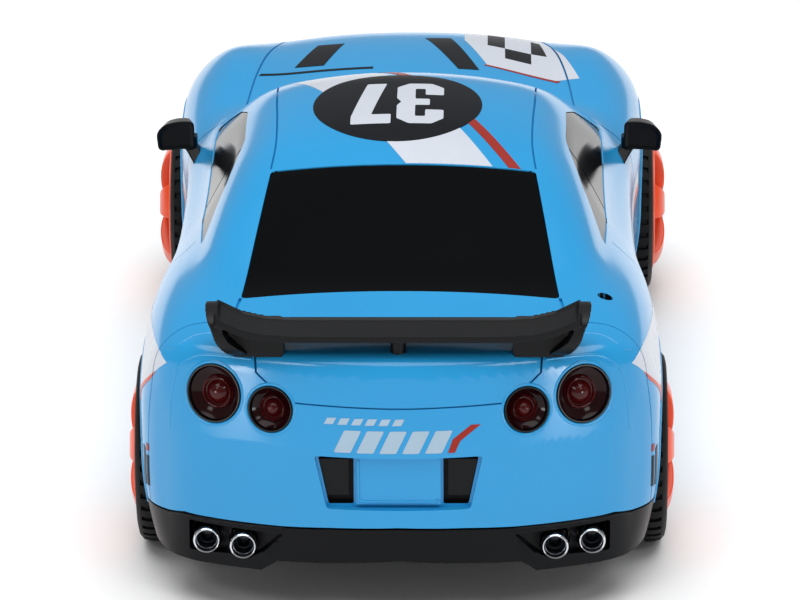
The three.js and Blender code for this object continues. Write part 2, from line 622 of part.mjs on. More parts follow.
const servoArm = () =>
  rod("z", 18.4, 20.0, [SERVO_X, SERVO.axis], 2.6, 16)
    .add(box(SERVO_X - 1.2, SERVO_X + 1.2, SERVO.axis, TIE_Y, 18.4, 20))
    .add(rod("z", 18.4, 20, [SERVO_X, TIE_Y], 1.6, 12))
    .add(rod("z", 15.2, 19, [SERVO_X, SERVO.axis], 1.2, 12))
    .add(rod("z", 19, TIE_Z[1] + 0.6, [SERVO_X, TIE_Y], 0.9, 10));

// ---- chassis and what it carries ----------------------------------------
const DOOR = { x: [7, 27], y: [-32, 18] };
const SWITCH = { x: -17, y: 2.5, travel: 3 };

function gearbox(profile, inside, axleY, wallY) {
  const [a, b] = wallY;
  return prism("x", profile, -9.2, 9.2)
    .subtract(prism("x", inside, -8, 8))
    .subtract(rod("x", -20, 20, [axleY, AXLE_Z], 1.9, 16))
    .subtract(rod("y", a, b, [0, AXLE_Z], 1.7, 16));
}

const REAR_BOX = [[-70, 6.1], [-46.6, 6.1], [-46.6, 19], [-51, 24], [-66, 24], [-70, 20]];
const REAR_ROOM = [[-68.8, 4], [-47.8, 4], [-47.8, 18.5], [-51.5, 22.8], [-65.5, 22.8], [-68.8, 19.5]];
const FRONT_BOX = [[48, 6.1], [68, 6.1], [68, 19], [64, 24], [53, 24], [48, 19]];
const FRONT_ROOM = [[49.2, 4], [66.8, 4], [66.8, 18.6], [63.5, 22.8], [53.5, 22.8], [49.2, 18.4]];

// Arms from the front gearbox hold each kingpin above and below.
function frontGearbox() {
  let g = gearbox(FRONT_BOX, FRONT_ROOM, FRONT_AXLE_Y, [40, 50]);
  for (const z of [[KNUCKLE_Z[0] - 2, KNUCKLE_Z[0] - 0.4], [KNUCKLE_Z[1] + 0.4, KNUCKLE_Z[1] + 2]])
    for (const s of [-1, 1]) {
      const [a, b] = s > 0 ? [8.5, KINGPIN_X] : [-KINGPIN_X, -8.5];
      g = g.add(box(a, b, FRONT_AXLE_Y - 2.6, FRONT_AXLE_Y + 2.6, ...z))
        .add(rod("z", ...z, [s * KINGPIN_X, FRONT_AXLE_Y], 2.6, 16))
        .subtract(rod("z", z[0] - 0.3, z[1] + 0.3, [s * KINGPIN_X, FRONT_AXLE_Y], 1.5, 12));
    }
  return g;
}

const OUTLINE = [
  [0, -76.9], [20, -76.9], [25, -73], [25, -46], [32.6, -39.5], [32.6, 35], [25, 42], [25, 74],
  [22, 84], [14, 88], [0, 89.5],
];

function chassis() {
  const edge = [...OUTLINE, ...mirrored(OUTLINE.slice(1, -1))];
  let c = prism("z", edge, ...PLATE);
  const top = PLATE[1] - 0.1;
  const { x, y } = DOOR;
  c = c.subtract(box(...x, ...y, 0, 10)).subtract(box(13, 21, 17, 24, 0, 10));
  const walls = [
    box(31.1, 32.6, -38, 34, top, 7.9), box(-32.6, -31.1, -38, 34, top, 7.9),
    box(5, 6.6, -33, 19, top, 13), box(27.6, 29.2, -33, 19, top, 13),
    box(-20, -4, -37, -33, top, 6.9), box(-20, -4, -21, -17, top, 6.9),
    box(12, 22, 18.6, 27, 6.1, 11), box(12, 22, 24.2, 27, top, 7),
    box(-29.4, -27, -8, -4, top, 7.6), box(-29.4, -27, 12, 16, top, 7.6),
    box(-2.8, 2.8, 7, 10, top, 17.6), box(-2.8, 2.8, 34, 37, top, 17.6),
    box(-26, -22.5, 28, 34, top, 12.1),
  ];
  for (const wall of walls) c = c.add(wall);
  for (const [u, v] of BOSSES) {
    c = c.add(rod("z", top, 14.6, [u, v], 3, 16))
      .subtract(rod("z", 0, 20, [u, v], 1.4, 12)).subtract(rod("z", 0, 5.3, [u, v], 2.7, 16));
  }
  const s = SWITCH;
  return c.subtract(rod("y", 0, 40, [0, AXLE_Z], SHAFT_R + GAP, 14))
    .subtract(box(s.x - 1.6, s.x + 1.6, s.y - 1.9, s.y + s.travel + 1.9, 0, 10))
    .subtract(rod("z", 5, 10.5, [17, 21], 1.2, 12));
}

function batteryDoor() {
  const g = GAP;
  const { x, y } = DOOR;
  return box(x[0] + g, x[1] - g, y[0] + g, y[1] - g, PLATE[0], 5.5)
    .add(box(13 + g, 21 - g, 17, 24 - g, PLATE[0], 5.5))
    .add(box(12, 22, y[0] + g, y[0] + 1.3, PLATE[0], 7.1))
    .add(box(12, 22, y[0] - 2, y[0] + 1.3, 6.1, 7.1))
    .subtract(rod("z", 0, 10, [17, 21], 1.3, 12)).subtract(rod("z", 0, 5.2, [17, 21], 2.3, 16));
}

// A cross-head screw up from z, with its head at the bottom.
function screw(x, y, z, head, shank, top) {
  const slot = 0.35;
  return rod("z", z, z + 0.9, [x, y], head, 16).add(rod("z", z + 0.5, top, [x, y], shank, 10))
    .subtract(box(x - slot, x + slot, y - head * 0.6, y + head * 0.6, z - 1, z + 0.45))
    .subtract(box(x - head * 0.6, x + head * 0.6, y - slot, y + slot, z - 1, z + 0.45));
}

function battery() {
  const [a, b] = [8.2, 25.8];
  const profile = [
    [a, 9], [a + 2.6, 6.3], [b - 2.6, 6.3], [b, 9], [b, 15.5], [b - 2.6, 18.2], [a + 2.6, 18.2],
    [a, 15.5],
  ];
  return prism("y", profile, -29.5, 16);
}

const powerSwitch = () => {
  const { x, y } = SWITCH;
  return box(x - 1.3, x + 1.3, y - 1.5, y + 1.5, 2.9, 6.5)
    .add(box(x - 2.6, x + 2.6, y - 3, y + 3, 6.1, 6.9));
};

const board = () =>
  box(-30, -4.2, -12, 20, 7.9, 9.3)
    .add(box(-24, -15, -6, 3, 9.2, 11.4)).add(rod("z", 9.2, 17, [-25, 13], 3.1, 14))
    .add(box(-13, -7, 6, 16, 9.2, 13)).add(box(-12, -6, -9, -5, 9.2, 15));

const car = new THREE.Group();
function add(name, body, look) {
  const [hex, roughness, metalness] = LOOKS[look];
  const mesh = new THREE.Mesh(geometryOf(whole(body)), finish(hex, roughness, metalness));
  mesh.name = name;
  car.add(mesh);
}
const both = (make) => { for (const [s, side] of [[-1, "left"], [1, "right"]]) make(s, side); };

add("body_shell", bodyShell(), "paint");
add("rear_window", pane(prism("z", shrunk(REAR_GLASS, GAP), 38, 62)), "window");
add("windshield", pane(prism("z", shrunk(SCREEN_GLASS, GAP), 38, 62)), "window");
both((s, side) => add("side_window_" + side, pane(sideWindow(s, GAP)), "window"));
both((s, side) => {
  const at = (l) => rod("y", -110, -80, [s * l.x, l.z], l.r, 24);
  add("tail_lamp_outer_" + side, pane(at(LAMP_OUT)), "lamp");
  add("tail_lamp_inner_" + side, pane(at(LAMP_IN)), "lamp");
  const lamp = shrunk(HEADLAMP, GAP);
  add("headlamp_" + side, pane(prism("y", s > 0 ? lamp : mirrored(lamp), 66.4, 110)), "clear");
});
add("rear_diffuser", diffuser(), "satin");
add("rear_wing", rearWing(), "black");
both((s, side) => add("mirror_" + side, mirror(s), "black"));
both((s, side) => {
  EXHAUSTS.forEach(([x, y], i) =>
    add("exhaust_" + ["outer_", "inner_"][i] + side, exhaustTip(s * x, y), "chrome"));
});
both((s, side) => {
  const tr = REAR_TYRE_OUT, tf = FRONT_TYRE_OUT;
  add("tyre_rear_" + side, tyre(s, tr, REAR_AXLE_Y), "rubber");
  add("tyre_front_" + side, tyre(s, tf, FRONT_AXLE_Y), "rubber");
  add("rim_rear_" + side, rim(s, tr, REAR_AXLE_Y, 1.5), "orange");
  add("rim_front_" + side, rim(s, tf, FRONT_AXLE_Y, 1.5), "orange");
});
add("front_grille", louvred(GRILLE, 22.5, 26.5, 2), "black");
add("front_intake", louvred(INTAKE, 11, 19, 3), "black");
both((s, side) => {
  const vent = shrunk(VENT, GAP);
  const panel = prism("y", s > 0 ? vent : mirrored(vent), -94.6, -93.6);
  add("plate_vent_" + side, panel.intersect(OUTSIDE), "black");
});
add("chassis", chassis(), "chassis");
BOSSES.forEach(([x, y], i) =>
  add("body_screw_" + (i + 1), screw(x, y, 4.2, 2.4, 1.1, 24), "steel"));
add("battery", battery(), "battery");
add("battery_door", batteryDoor(), "chassis");
add("battery_door_screw", screw(17, 21, 4.1, 2, 0.9, 10), "steel");
add("power_switch", powerSwitch(), "black");
add("circuit_board", board(), "board");
add("motor", motor(), "motor");
add("motor_pinion", motorPinion(), "steel");
add("propshaft", propshaft(), "gear");
add("rear_gearbox", gearbox(REAR_BOX, REAR_ROOM, REAR_AXLE_Y, [-49, -40]), "chassis");
add("front_gearbox", frontGearbox(), "chassis");
const rearEnd = REAR_TYRE_OUT - 2.2;
add("rear_axle", rod("x", -rearEnd, rearEnd, [REAR_AXLE_Y, AXLE_Z], 1.5, 14), "steel");
add("rear_crown_gear", crown(1, REAR_AXLE_Y, 1.7), "gear");
add("front_driveshaft", frontShaft(), "steel");
both((s, side) => add("front_stub_axle_" + side, frontStub(s), "steel"));
both((s, side) => add("knuckle_" + side, knuckle(s), "chassis"));
add("tie_rod", tieRod(), "chassis");
add("steering_servo", servo(), "black");
add("servo_arm", servoArm(), "gear");
both((s, side) => {
  add("wheel_nut_rear_" + side, nut(s, REAR_TYRE_OUT, REAR_AXLE_Y), "steel");
  add("wheel_nut_front_" + side, nut(s, FRONT_TYRE_OUT, FRONT_AXLE_Y), "steel");
});
export default car;
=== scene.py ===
import json
import math
import bpy
import bmesh
import numpy as np
from mathutils import Matrix, Vector


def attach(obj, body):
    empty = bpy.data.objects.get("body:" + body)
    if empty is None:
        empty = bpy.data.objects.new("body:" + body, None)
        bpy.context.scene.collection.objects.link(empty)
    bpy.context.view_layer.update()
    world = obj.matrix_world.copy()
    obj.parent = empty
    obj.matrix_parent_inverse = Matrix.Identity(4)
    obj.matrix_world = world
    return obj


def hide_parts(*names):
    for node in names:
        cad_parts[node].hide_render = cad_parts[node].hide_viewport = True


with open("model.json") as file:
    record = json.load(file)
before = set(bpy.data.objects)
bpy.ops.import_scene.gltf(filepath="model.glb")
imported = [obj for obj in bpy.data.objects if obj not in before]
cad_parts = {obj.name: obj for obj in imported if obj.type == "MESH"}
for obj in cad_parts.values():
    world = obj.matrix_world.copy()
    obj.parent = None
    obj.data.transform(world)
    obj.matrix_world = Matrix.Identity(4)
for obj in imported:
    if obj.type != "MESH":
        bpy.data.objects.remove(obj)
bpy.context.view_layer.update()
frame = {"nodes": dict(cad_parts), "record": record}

MM = 0.001

# ---- measures in millimetres, the same as the frame's -----------------------------------
REAR_Y, FRONT_Y, AXLE_Z = -59.3, 56.5, 14.8
TYRE_R, TYRE_W, RIM_R = 14.8, 11.0, 11.0
REAR_OUT, FRONT_OUT = 40.4, 42.0
ARCH_REAR, ARCH_FRONT = 16.9, 18.5
WALL = 1.9  # thickness of the moulded body
SHAFT_R = 1.5  # axle and stub axles
LAMP_OUT = (27.3, 34.6, 4.25)  # x, z and radius of the outer tail lamp
LAMP_IN = (18.85, 33.4, 3.4)
EXHAUSTS = [(28.6, -91.3), (23.1, -93.5)]  # x, and the y of the tip's mouth
EXHAUST_Z = 11.9
FILM, FILM_BACK = 0.06, -0.3  # the livery's outer and inner faces, measured out from the paint
PANE, PANE_BACK = -0.12, -1.5  # a pane's outer and inner faces
SHUT_LINE = 0.34  # width of the gaps between panels


# ---- camera, light and floor ---------------------------------------------------------------
def look_camera():
    up_down, turn, roll = math.radians(19.6), math.radians(-1.0), math.radians(-0.3)
    level = math.cos(up_down)
    ahead = Vector((math.sin(turn) * level, math.cos(turn) * level, -math.sin(up_down)))
    right = Vector((math.cos(turn), -math.sin(turn), 0))
    up = right.cross(ahead)
    r = right * math.cos(roll) + up * math.sin(roll)
    u = up * math.cos(roll) - right * math.sin(roll)
    data = bpy.data.cameras.new("camera")
    data.sensor_width, data.lens = 36, 5450 / 800 * 36
    data.clip_start, data.clip_end = 0.05, 20
    cam = bpy.data.objects.new("camera", data)
    bpy.context.scene.collection.objects.link(cam)
    place = Vector((-0.0006, -0.040, 0.0316)) - ahead * 0.850
    m = Matrix((r, u, -ahead)).transposed().to_4x4()
    m.translation = place
    cam.matrix_world = m
    bpy.context.scene.camera = cam


def soft_light(name, place, aim, size, watts):
    data = bpy.data.lights.new(name, "AREA")
    data.shape, data.size, data.size_y, data.energy = "RECTANGLE", size[0], size[1], watts
    light = bpy.data.objects.new(name, data)
    bpy.context.scene.collection.objects.link(light)
    light.location = place
    light.visible_camera = False
    light.rotation_euler = (Vector(aim) - Vector(place)).to_track_quat("-Z", "Y").to_euler()


look_camera()


# ---- materials -----------------------------------------------------------------------------
def linear(hexed):
    c = [int(hexed[i:i + 2], 16) / 255 for i in (0, 2, 4)]
    return tuple(v / 12.92 if v <= 0.04045 else ((v + 0.055) / 1.055) ** 2.4 for v in c) + (1.0,)


def node(mat, kind, settings=None, values=None, links=None):
    """Adds one node; links maps its inputs to another node's (node, output)."""
    n = mat.node_tree.nodes.new(kind)
    for key, value in (settings or {}).items():
        setattr(n, key, value)
    for key, value in (values or {}).items():
        n.inputs[key].default_value = value
    for key, (source, out) in (links or {}).items():
        mat.node_tree.links.new(source.outputs[out], n.inputs[key])
    return n


def surface(name, hexed, roughness, metallic=0.0, ior=1.46, shade=0.06, blotch_mm=9.0,
            grain_mm=0.25, grain=0.05, rough_shift=0.05, **more):
    """A moulded or machined finish: its colour drifts a little, its gloss is uneven, its grain fine."""
    mat = bpy.data.materials.new(name)
    mat.use_nodes = True
    shader = mat.node_tree.nodes["Principled BSDF"]
    place = node(mat, "ShaderNodeTexCoord")
    here = {"Vector": (place, "Object")}
    drift = node(mat, "ShaderNodeTexNoise", None,
                 {"Scale": 1 / (blotch_mm * MM), "Detail": 3.0, "Roughness": 0.55}, here)
    base = linear(hexed)
    ramp = node(mat, "ShaderNodeValToRGB", None, None, {"Fac": (drift, "Fac")})
    low, high = ramp.color_ramp.elements
    low.position, high.position = 0.3, 0.7
    low.color = tuple(max(v * (1 - shade), 0) for v in base[:3]) + (1,)
    high.color = tuple(min(v * (1 + shade), 1) for v in base[:3]) + (1,)
    fine = node(mat, "ShaderNodeTexNoise", None, {"Scale": 1 / (grain_mm * MM), "Detail": 2.0}, here)
    gloss = {"To Min": max(roughness - rough_shift, 0.02), "To Max": roughness + rough_shift}
    rough = node(mat, "ShaderNodeMapRange", None, gloss, {"Value": (drift, "Fac")})
    bump = node(mat, "ShaderNodeBump", None, {"Strength": grain, "Distance": 0.05 * MM},
                {"Height": (fine, "Fac")})
    links = mat.node_tree.links
    links.new(ramp.outputs["Color"], shader.inputs["Base Color"])
    links.new(rough.outputs["Result"], shader.inputs["Roughness"])
    links.new(bump.outputs["Normal"], shader.inputs["Normal"])
    shader.inputs["Metallic"].default_value = metallic
    if not metallic:
        shader.inputs["IOR"].default_value = ior
    for key, value in more.items():
        shader.inputs[key.replace("_", " ")].default_value = value
    return mat


# Sky blue toy enamel sprayed on an injection moulded ABS shell: an even, opaque blue with clear,
# slightly soft reflections.
PAINT = surface("sky blue gloss enamel on abs", "2291cb", 0.16, shade=0.03, blotch_mm=30, grain_mm=0.6,
                grain=0.03, rough_shift=0.02)
# The inside of the same shell: dull near-black plastic, painted shade that stands for the dark inside the
# car, and shows only through the openings.
SHADED_INSIDE = surface("near black inside as painted shade", "0e0f12", 0.5, grain=0.2, Specular_IOR_Level=0.25)
# Polished, deep black polystyrene panes: almost no colour, and a faint clear reflection at a low angle.
WINDOW = surface("gloss black polystyrene window", "030406", 0.1, shade=0.1, blotch_mm=25, grain_mm=2.0,
                 grain=0.02, rough_shift=0.02,
                 Specular_IOR_Level=0.07)
# Black ABS from a spark textured mould: a soft, wide sheen that greys the faces turned to the light.
BLACK = surface("satin black abs wing", "08090c", 0.4, shade=0.12, grain_mm=0.3, grain=0.15,
                Specular_IOR_Level=0.22)
# The same black from a smoother mould: darker on flat faces, with narrow bright lines on its edges.
GLOSS_BLACK = surface("semi gloss black abs diffuser", "040508", 0.3, shade=0.1, grain_mm=0.4,
                      grain=0.08, Specular_IOR_Level=0.16)
# Aluminium flashed on plastic in vacuum under a clear coat: a bright mirror, just uneven enough to
# look moulded.
CHROME = surface("vacuum chrome on abs", "d9dce0", 0.1, metallic=1.0, shade=0.03, grain=0.03)
# The inside of the same tips: a dull dark metal that fades into the pipe, painted shade that stands for the
# dark deep in the bore.
SHADED_BORE = surface("dull exhaust bore as painted shade", "64686f", 0.32, metallic=1.0, shade=0.12, blotch_mm=2, grain=0.1)
# Smoked red transparent polystyrene over a dark reflector: nearly black, with red only where the bowl turns.
LAMP = surface("dark red polystyrene lens", "1c0305", 0.12, shade=0.15, blotch_mm=3, grain=0.02,
               Specular_IOR_Level=0.2)
# The lens in its middle, clearer than the bowl: a deep red that lights up towards the rim of the step.
LAMP_EYE = surface("clear red polystyrene eye", "3e0809", 0.1, shade=0.25, blotch_mm=1.5, grain=0.02,
                   Specular_IOR_Level=0.3)
# Black polystyrene ring pressed round the lens: dark, with a thin bright line on its lip.
LAMP_DARK = surface("black lamp bezel", "050609", 0.2, shade=0.1, grain=0.05, Specular_IOR_Level=0.3)
# Clear polystyrene over a silvered back: pale grey with sharp reflections.
CLEAR = surface("clear polystyrene headlamp", "c9d2da", 0.08, shade=0.04, blotch_mm=4, grain=0.02)
# Orange ABS, coloured in the plastic: strong orange with a soft sheen on the spokes' rounded edges.
ORANGE = surface("orange abs rim", "e64a1c", 0.3, shade=0.05, blotch_mm=6, grain=0.06)
# Vulcanised rubber with mould release bloom: matt charcoal, a little uneven, and no clear reflection.
RUBBER = surface("black rubber tyre", "07080a", 0.6, shade=0.15, blotch_mm=3, grain_mm=0.25, grain=0.3,
                 Specular_IOR_Level=0.22)
# Zinc plated steel axles and screws: bluish grey metal with a slightly blurred shine.
STEEL = surface("zinc plated steel", "b7bbc0", 0.28, metallic=1.0, shade=0.06, blotch_mm=2, grain=0.1)
# Glass filled black nylon: dull and faintly grainy, as chassis plates are.
CHASSIS = surface("black nylon chassis", "131417", 0.55, shade=0.1, grain_mm=0.35, grain=0.3,
                  Specular_IOR_Level=0.3)
# Natural nylon gears: creamy white with a waxy sheen.
NYLON = surface("natural nylon gear", "e6e2d2", 0.45, shade=0.04, blotch_mm=2, grain=0.15)
# Nickel plated drawn steel can: warm grey metal, fairly sharp reflections.
CAN = surface("nickel plated motor can", "b9bcc0", 0.22, metallic=1.0, shade=0.05, grain=0.05)
# Heat shrunk PVC sleeve round the cells: saturated blue with a soft gloss.
WRAP = surface("blue shrink wrap", "2a4f9f", 0.25, shade=0.08, blotch_mm=5, grain_mm=0.8, grain=0.1)
# Solder mask over copper on fibreglass: deep green with slight mottling.
BOARD = surface("green solder mask", "1c6336", 0.35, shade=0.1, blotch_mm=2, grain=0.1)
# Cast vinyl film laid on the paint: clean, cool white with a soft gloss.
WHITE = surface("white vinyl decal", "c3c9d3", 0.28, shade=0.02, blotch_mm=12, grain=0.04)
# The same film printed red: a brick red, duller than the paint round it.
RED = surface("red vinyl decal", "93251a", 0.32, shade=0.04, blotch_mm=12, grain=0.04,
              Specular_IOR_Level=0.3)
# The same film printed black: a flat, blue-tinged black, less glossy than the windows.
DARK = surface("black vinyl decal", "060a12", 0.34, shade=0.08, blotch_mm=12, grain=0.04,
               Specular_IOR_Level=0.16)
# The same film printed orange: a warm, slightly pink orange.
EMBER = surface("orange vinyl decal", "c94a2c", 0.3, shade=0.04, blotch_mm=12, grain=0.04,
                Specular_IOR_Level=0.3)
# White card under the car: matt and even, so the shadow is soft.
FLOOR = surface("pale matt paper", "f3f3f3", 0.7, shade=0.004, blotch_mm=200, grain=0.0,
                Specular_IOR_Level=0.1)
# Thin white ink over the blue paint: the blue shows through a little.
PALE = surface("pale blue grey print", "9fb6c8", 0.3, shade=0.03, blotch_mm=12, grain=0.04,
               Specular_IOR_Level=0.3)


# ---- the car's form ------------------------------------------------------------------------
def line(v, knots):
    """A smooth line through (at, value) knots, flat past its ends."""
    k = np.array(knots, float)
    x, y = k[:, 0], k[:, 1]
    d = np.diff(y) / np.diff(x)
    m = np.concatenate([[d[0]], (d[1:] + d[:-1]) / 2, [d[-1]]])
    v = np.clip(v, x[0], x[-1])
    i = np.clip(np.searchsorted(x, v) - 1, 0, len(x) - 2)
    h = x[i + 1] - x[i]
    t = (v - x[i]) / h
    return ((2 * t**3 - 3 * t**2 + 1) * y[i] + (t**3 - 2 * t**2 + t) * h * m[i]
            + (-2 * t**3 + 3 * t**2) * y[i + 1] + (t**3 - t**2) * h * m[i + 1])


def outer(a, b, r):
    """The larger of two distances, with a fillet of size r between them."""
    return np.maximum(a, b) + np.maximum(r - np.abs(a - b), 0) ** 2 / (4 * r)


def inner(a, b, r):
    return -outer(-a, -b, r)


# The body's half width and the height of its bonnet and deck, as (y, value) along the car.
WAIST = [(-97, 36.2), (-84, 38.0), (-72, 39.2), (-59, 39.6), (-44, 39.0), (-22, 37.2), (0, 36.8),
         (22, 37.4), (42, 39.2), (56, 39.8), (68, 39.0), (80, 36.6), (90, 32.5), (97, 29)]
DECK = [(-97, 41.2), (-94, 41.6), (-74, 43.6), (-50, 42.5), (-20, 40.0), (15, 40.0),
        (34, 41.6), (50, 42.4), (65, 42.0), (76, 40.2), (86, 36.6), (97, 30)]


def cabin(ax, y, z):
    """Roof, rear screen, windscreen and leaning side windows, run together with small fillets."""
    roof = z - (57 - 0.003 * (y + 12) ** 2 - 0.004 * ax**2)
    rear = (z - (43.7 + 0.3 * (y + 73.7) - 0.0022 * ax**2)) * 0.955
    screen = (z - (41.3 + 0.42 * (38 - y) - 0.0065 * ax**2)) * 0.92
    lean = 0.53 * (z - 39) + 0.03 * np.maximum(-30 - y, 0) + 0.03 * np.maximum(y - 12, 0)
    return outer(outer(outer(roof, rear, 2.0), screen, 3.0), (ax - 33.6 + lean) * 0.865, 4.0)


def form(p):
    """Below zero inside the car's outer form; p holds points as rows of x, y, z in mm."""
    ax, y, z = np.abs(p[..., 0]), p[..., 1], p[..., 2]
    high, low, rise = np.maximum(z - 27, 0), np.maximum(20 - z, 0), np.maximum(z - 18, 0)
    side = (ax - (line(y, WAIST) - 0.017 * high**2 - 0.012 * low**2)) / np.sqrt(1 + (0.034 * high) ** 2)
    crown = (3 + 2.2 * np.clip((y - 30) / 40, 0, 1)) * (ax / 38) ** 2.2
    wing = 2.0 * np.exp(-((ax - 31) / 6) ** 2 - ((y - 60) / 18) ** 2)
    hip = 1.6 * np.exp(-((ax - 33) / 6) ** 2 - ((y + 60) / 20) ** 2)
    top = z - (line(y, DECK) - crown + wing + hip)
    tail = -(y + 96.8) + 0.0085 * ax**2 + 0.16 * np.maximum(z - 28, 0)
    corner = (ax - 32) * 0.8 - (y + 88.3) * 0.6
    nose = (y - 96.8 + 0.01 * ax**2 + 0.026 * rise**2) / np.sqrt(1 + (0.052 * rise) ** 2)
    main = outer(side, inner(top, cabin(ax, y, z), 3.0), 5.0)
    return outer(outer(main, outer(tail, corner, 1.6), 2.2), nose, 6.0)


def slope(p, e=0.02):
    """The way the form faces at each point."""
    g = np.stack([form(p + np.array(d) * e) - form(p - np.array(d) * e) for d in np.eye(3)], -1)
    return g / np.maximum(np.linalg.norm(g, axis=-1, keepdims=True), 1e-9)


SPINE_Z = 14  # the skin's rays start at this height along the middle of the car


def reach(starts, rays, level, floor):
    """How far along each ray the form first comes up to the level."""
    def value(t):
        p = starts + rays * t[:, None]
        return np.maximum(form(p) - level, floor - p[:, 2])
    lo, hi = np.zeros(len(starts)), np.full(len(starts), 1.0)
    for _ in range(130):
        inside = value(hi) < 0
        if not inside.any():
            break
        lo, hi = np.where(inside, hi, lo), np.where(inside, hi + 1, hi)
    for _ in range(24):
        mid = (lo + hi) / 2
        inside = value(mid) < 0
        lo, hi = np.where(inside, mid, lo), np.where(inside, hi, mid)
    return hi


def skin(name, level, stations, half_ring, fan, floor=3.0):
    """The closed surface at one level of the form: rings along the car and a fan at each end."""
    ring = np.radians(list(half_ring) + [180 - a for a in half_ring[-2:0:-1]])
    n = len(ring)
    rows = [(stations[0], -a) for a in reversed(fan)] + [(y, 0) for y in stations]
    rows += [(stations[-1], a) for a in fan]
    starts, rays = [], []
    for y, lift in rows:
        c, s = math.cos(math.radians(lift)), math.sin(math.radians(lift))
        starts += [(0, y, SPINE_Z)] * n
        rays.append(np.stack([np.cos(ring) * c, np.full(n, s), np.sin(ring) * c], 1))
    starts = np.array(starts + [(0, stations[0], SPINE_Z), (0, stations[-1], SPINE_Z)], float)
    rays = np.vstack(rays + [[(0, -1, 0), (0, 1, 0)]])
    t = reach(starts, rays, level, floor)
    verts = starts + rays * t[:, None]
    faces = []
    for j in range(len(rows) - 1):
        for k in range(n):
            m = (k + 1) % n
            faces.append((j * n + k, (j + 1) * n + k, (j + 1) * n + m, j * n + m))
    last, a, b = (len(rows) - 1) * n, len(verts) - 2, len(verts) - 1
    for k in range(n):
        m = (k + 1) % n
        faces += [(a, k, m), (b, last + m, last + k)]
    return closed_mesh(name, verts, faces)


# ---- modelling by hand ---------------------------------------------------------------------
def closed_mesh(name, verts_mm, faces):
    """A mesh straight from computed points, for the body's form, which no primitive leads to."""
    mesh = bpy.data.meshes.new(name)
    mesh.from_pydata([tuple(v) for v in np.asarray(verts_mm, float) * MM], [], faces)
    obj = bpy.data.objects.new(name, mesh)
    bpy.context.scene.collection.objects.link(obj)
    face_out(obj)
    return obj


def alone(*objs):
    if bpy.context.object and bpy.context.object.mode != "OBJECT":
        bpy.ops.object.mode_set(mode="OBJECT")
    bpy.ops.object.select_all(action="DESELECT")
    for obj in objs:
        obj.select_set(True)
    if objs:
        bpy.context.view_layer.objects.active = objs[0]


def face_out(obj):
    alone(obj)
    bpy.ops.object.mode_set(mode="EDIT")
    bpy.ops.mesh.select_all(action="SELECT")
    bpy.ops.mesh.normals_make_consistent(inside=False)
    bpy.ops.object.mode_set(mode="OBJECT")


def begin(name, kind, **size_and_place):
    """Adds a primitive on its own and opens it for editing, its place already in its mesh."""
    alone()
    getattr(bpy.ops.mesh, "primitive_" + kind + "_add")(**size_and_place)
    obj = bpy.context.object
    obj.name = obj.data.name = name
    bpy.ops.object.transform_apply(location=True, rotation=True, scale=True)
    bpy.ops.object.mode_set(mode="EDIT")
    bpy.ops.mesh.select_mode(type="VERT")
    bpy.ops.mesh.select_all(action="SELECT")
    return obj


def pick(kind, test):
    """Selects the points, edges or faces whose middle, in mm, passes the test."""
    bpy.ops.mesh.select_mode(type=kind)
    bpy.ops.mesh.select_all(action="DESELECT")
    mesh = bmesh.from_edit_mesh(bpy.context.object.data)
    for item in {"VERT": mesh.verts, "EDGE": mesh.edges, "FACE": mesh.faces}[kind]:
        points = [item] if kind == "VERT" else list(item.verts)
        item.select_set(bool(test(sum((v.co for v in points), Vector()) / len(points) / MM, item)))
    mesh.select_flush_mode()
    bmesh.update_edit_mesh(bpy.context.object.data)


def move(x=0.0, y=0.0, z=0.0):
    bpy.ops.transform.translate(value=(x * MM, y * MM, z * MM))


def pull(x=0.0, y=0.0, z=0.0):
    bpy.ops.mesh.extrude_region_move(TRANSFORM_OT_translate={"value": (x * MM, y * MM, z * MM)})


def swell(by):
    bpy.ops.mesh.extrude_region_shrink_fatten(TRANSFORM_OT_shrink_fatten={"value": by * MM})


def chain(name, corners):
    """One point, extruded from corner to corner."""
    obj = begin(name, "plane", size=MM, location=Vector(corners[0]) * MM)
    bpy.ops.mesh.merge(type="CENTER")
    for a, b in zip(corners, corners[1:]):
        pull(*(Vector(b) - Vector(a)))
    bpy.ops.mesh.select_all(action="SELECT")
    return obj


def prism(axis, points, a, b, name="cutter"):
    """An outline filled and pulled along an axis: z takes (x, y), y takes (x, z), x takes (y, z)."""
    put = {"z": lambda u, v: (u, v, a), "y": lambda u, v: (u, a, v), "x": lambda u, v: (a, u, v)}[axis]
    obj = chain(name, [put(u, v) for u, v in points])
    bpy.ops.mesh.edge_face_add()
    pull(**{axis: b - a})
    bpy.ops.object.mode_set(mode="OBJECT")
    face_out(obj)
    return obj


def block(x0, x1, y0, y1, z0, z1, name="cutter"):
    middle = ((x0 + x1) / 2 * MM, (y0 + y1) / 2 * MM, (z0 + z1) / 2 * MM)
    size = ((x1 - x0) * MM, (y1 - y0) * MM, (z1 - z0) * MM)
    obj = begin(name, "cube", size=1, location=middle, scale=size)
    bpy.ops.object.mode_set(mode="OBJECT")
    return obj


def round_bar(a, b, r, n=64, name="cutter"):
    """A round bar between two points in mm."""
    a, b = Vector(a), Vector(b)
    turn = (b - a).to_track_quat("Z", "Y").to_euler()
    obj = begin(name, "cylinder", vertices=n, radius=r * MM, depth=(b - a).length * MM,
                location=(a + b) / 2 * MM, rotation=turn)
    bpy.ops.object.mode_set(mode="OBJECT")
    return obj


def turned(name, profile, at, along, steps=64):
    """A profile of (along, radius) points spun about a line through `at`."""
    d = Vector(along).normalized()
    out = d.orthogonal().normalized()
    obj = chain(name, [Vector(at) + d * u + out * r for u, r in profile])
    bpy.ops.mesh.spin(steps=steps, angle=2 * math.pi, center=Vector(at) * MM, axis=d)
    bpy.ops.mesh.select_all(action="SELECT")
    bpy.ops.mesh.remove_doubles(threshold=0.003 * MM)
    bpy.ops.mesh.normals_make_consistent(inside=False)
    bpy.ops.object.mode_set(mode="OBJECT")
    return obj


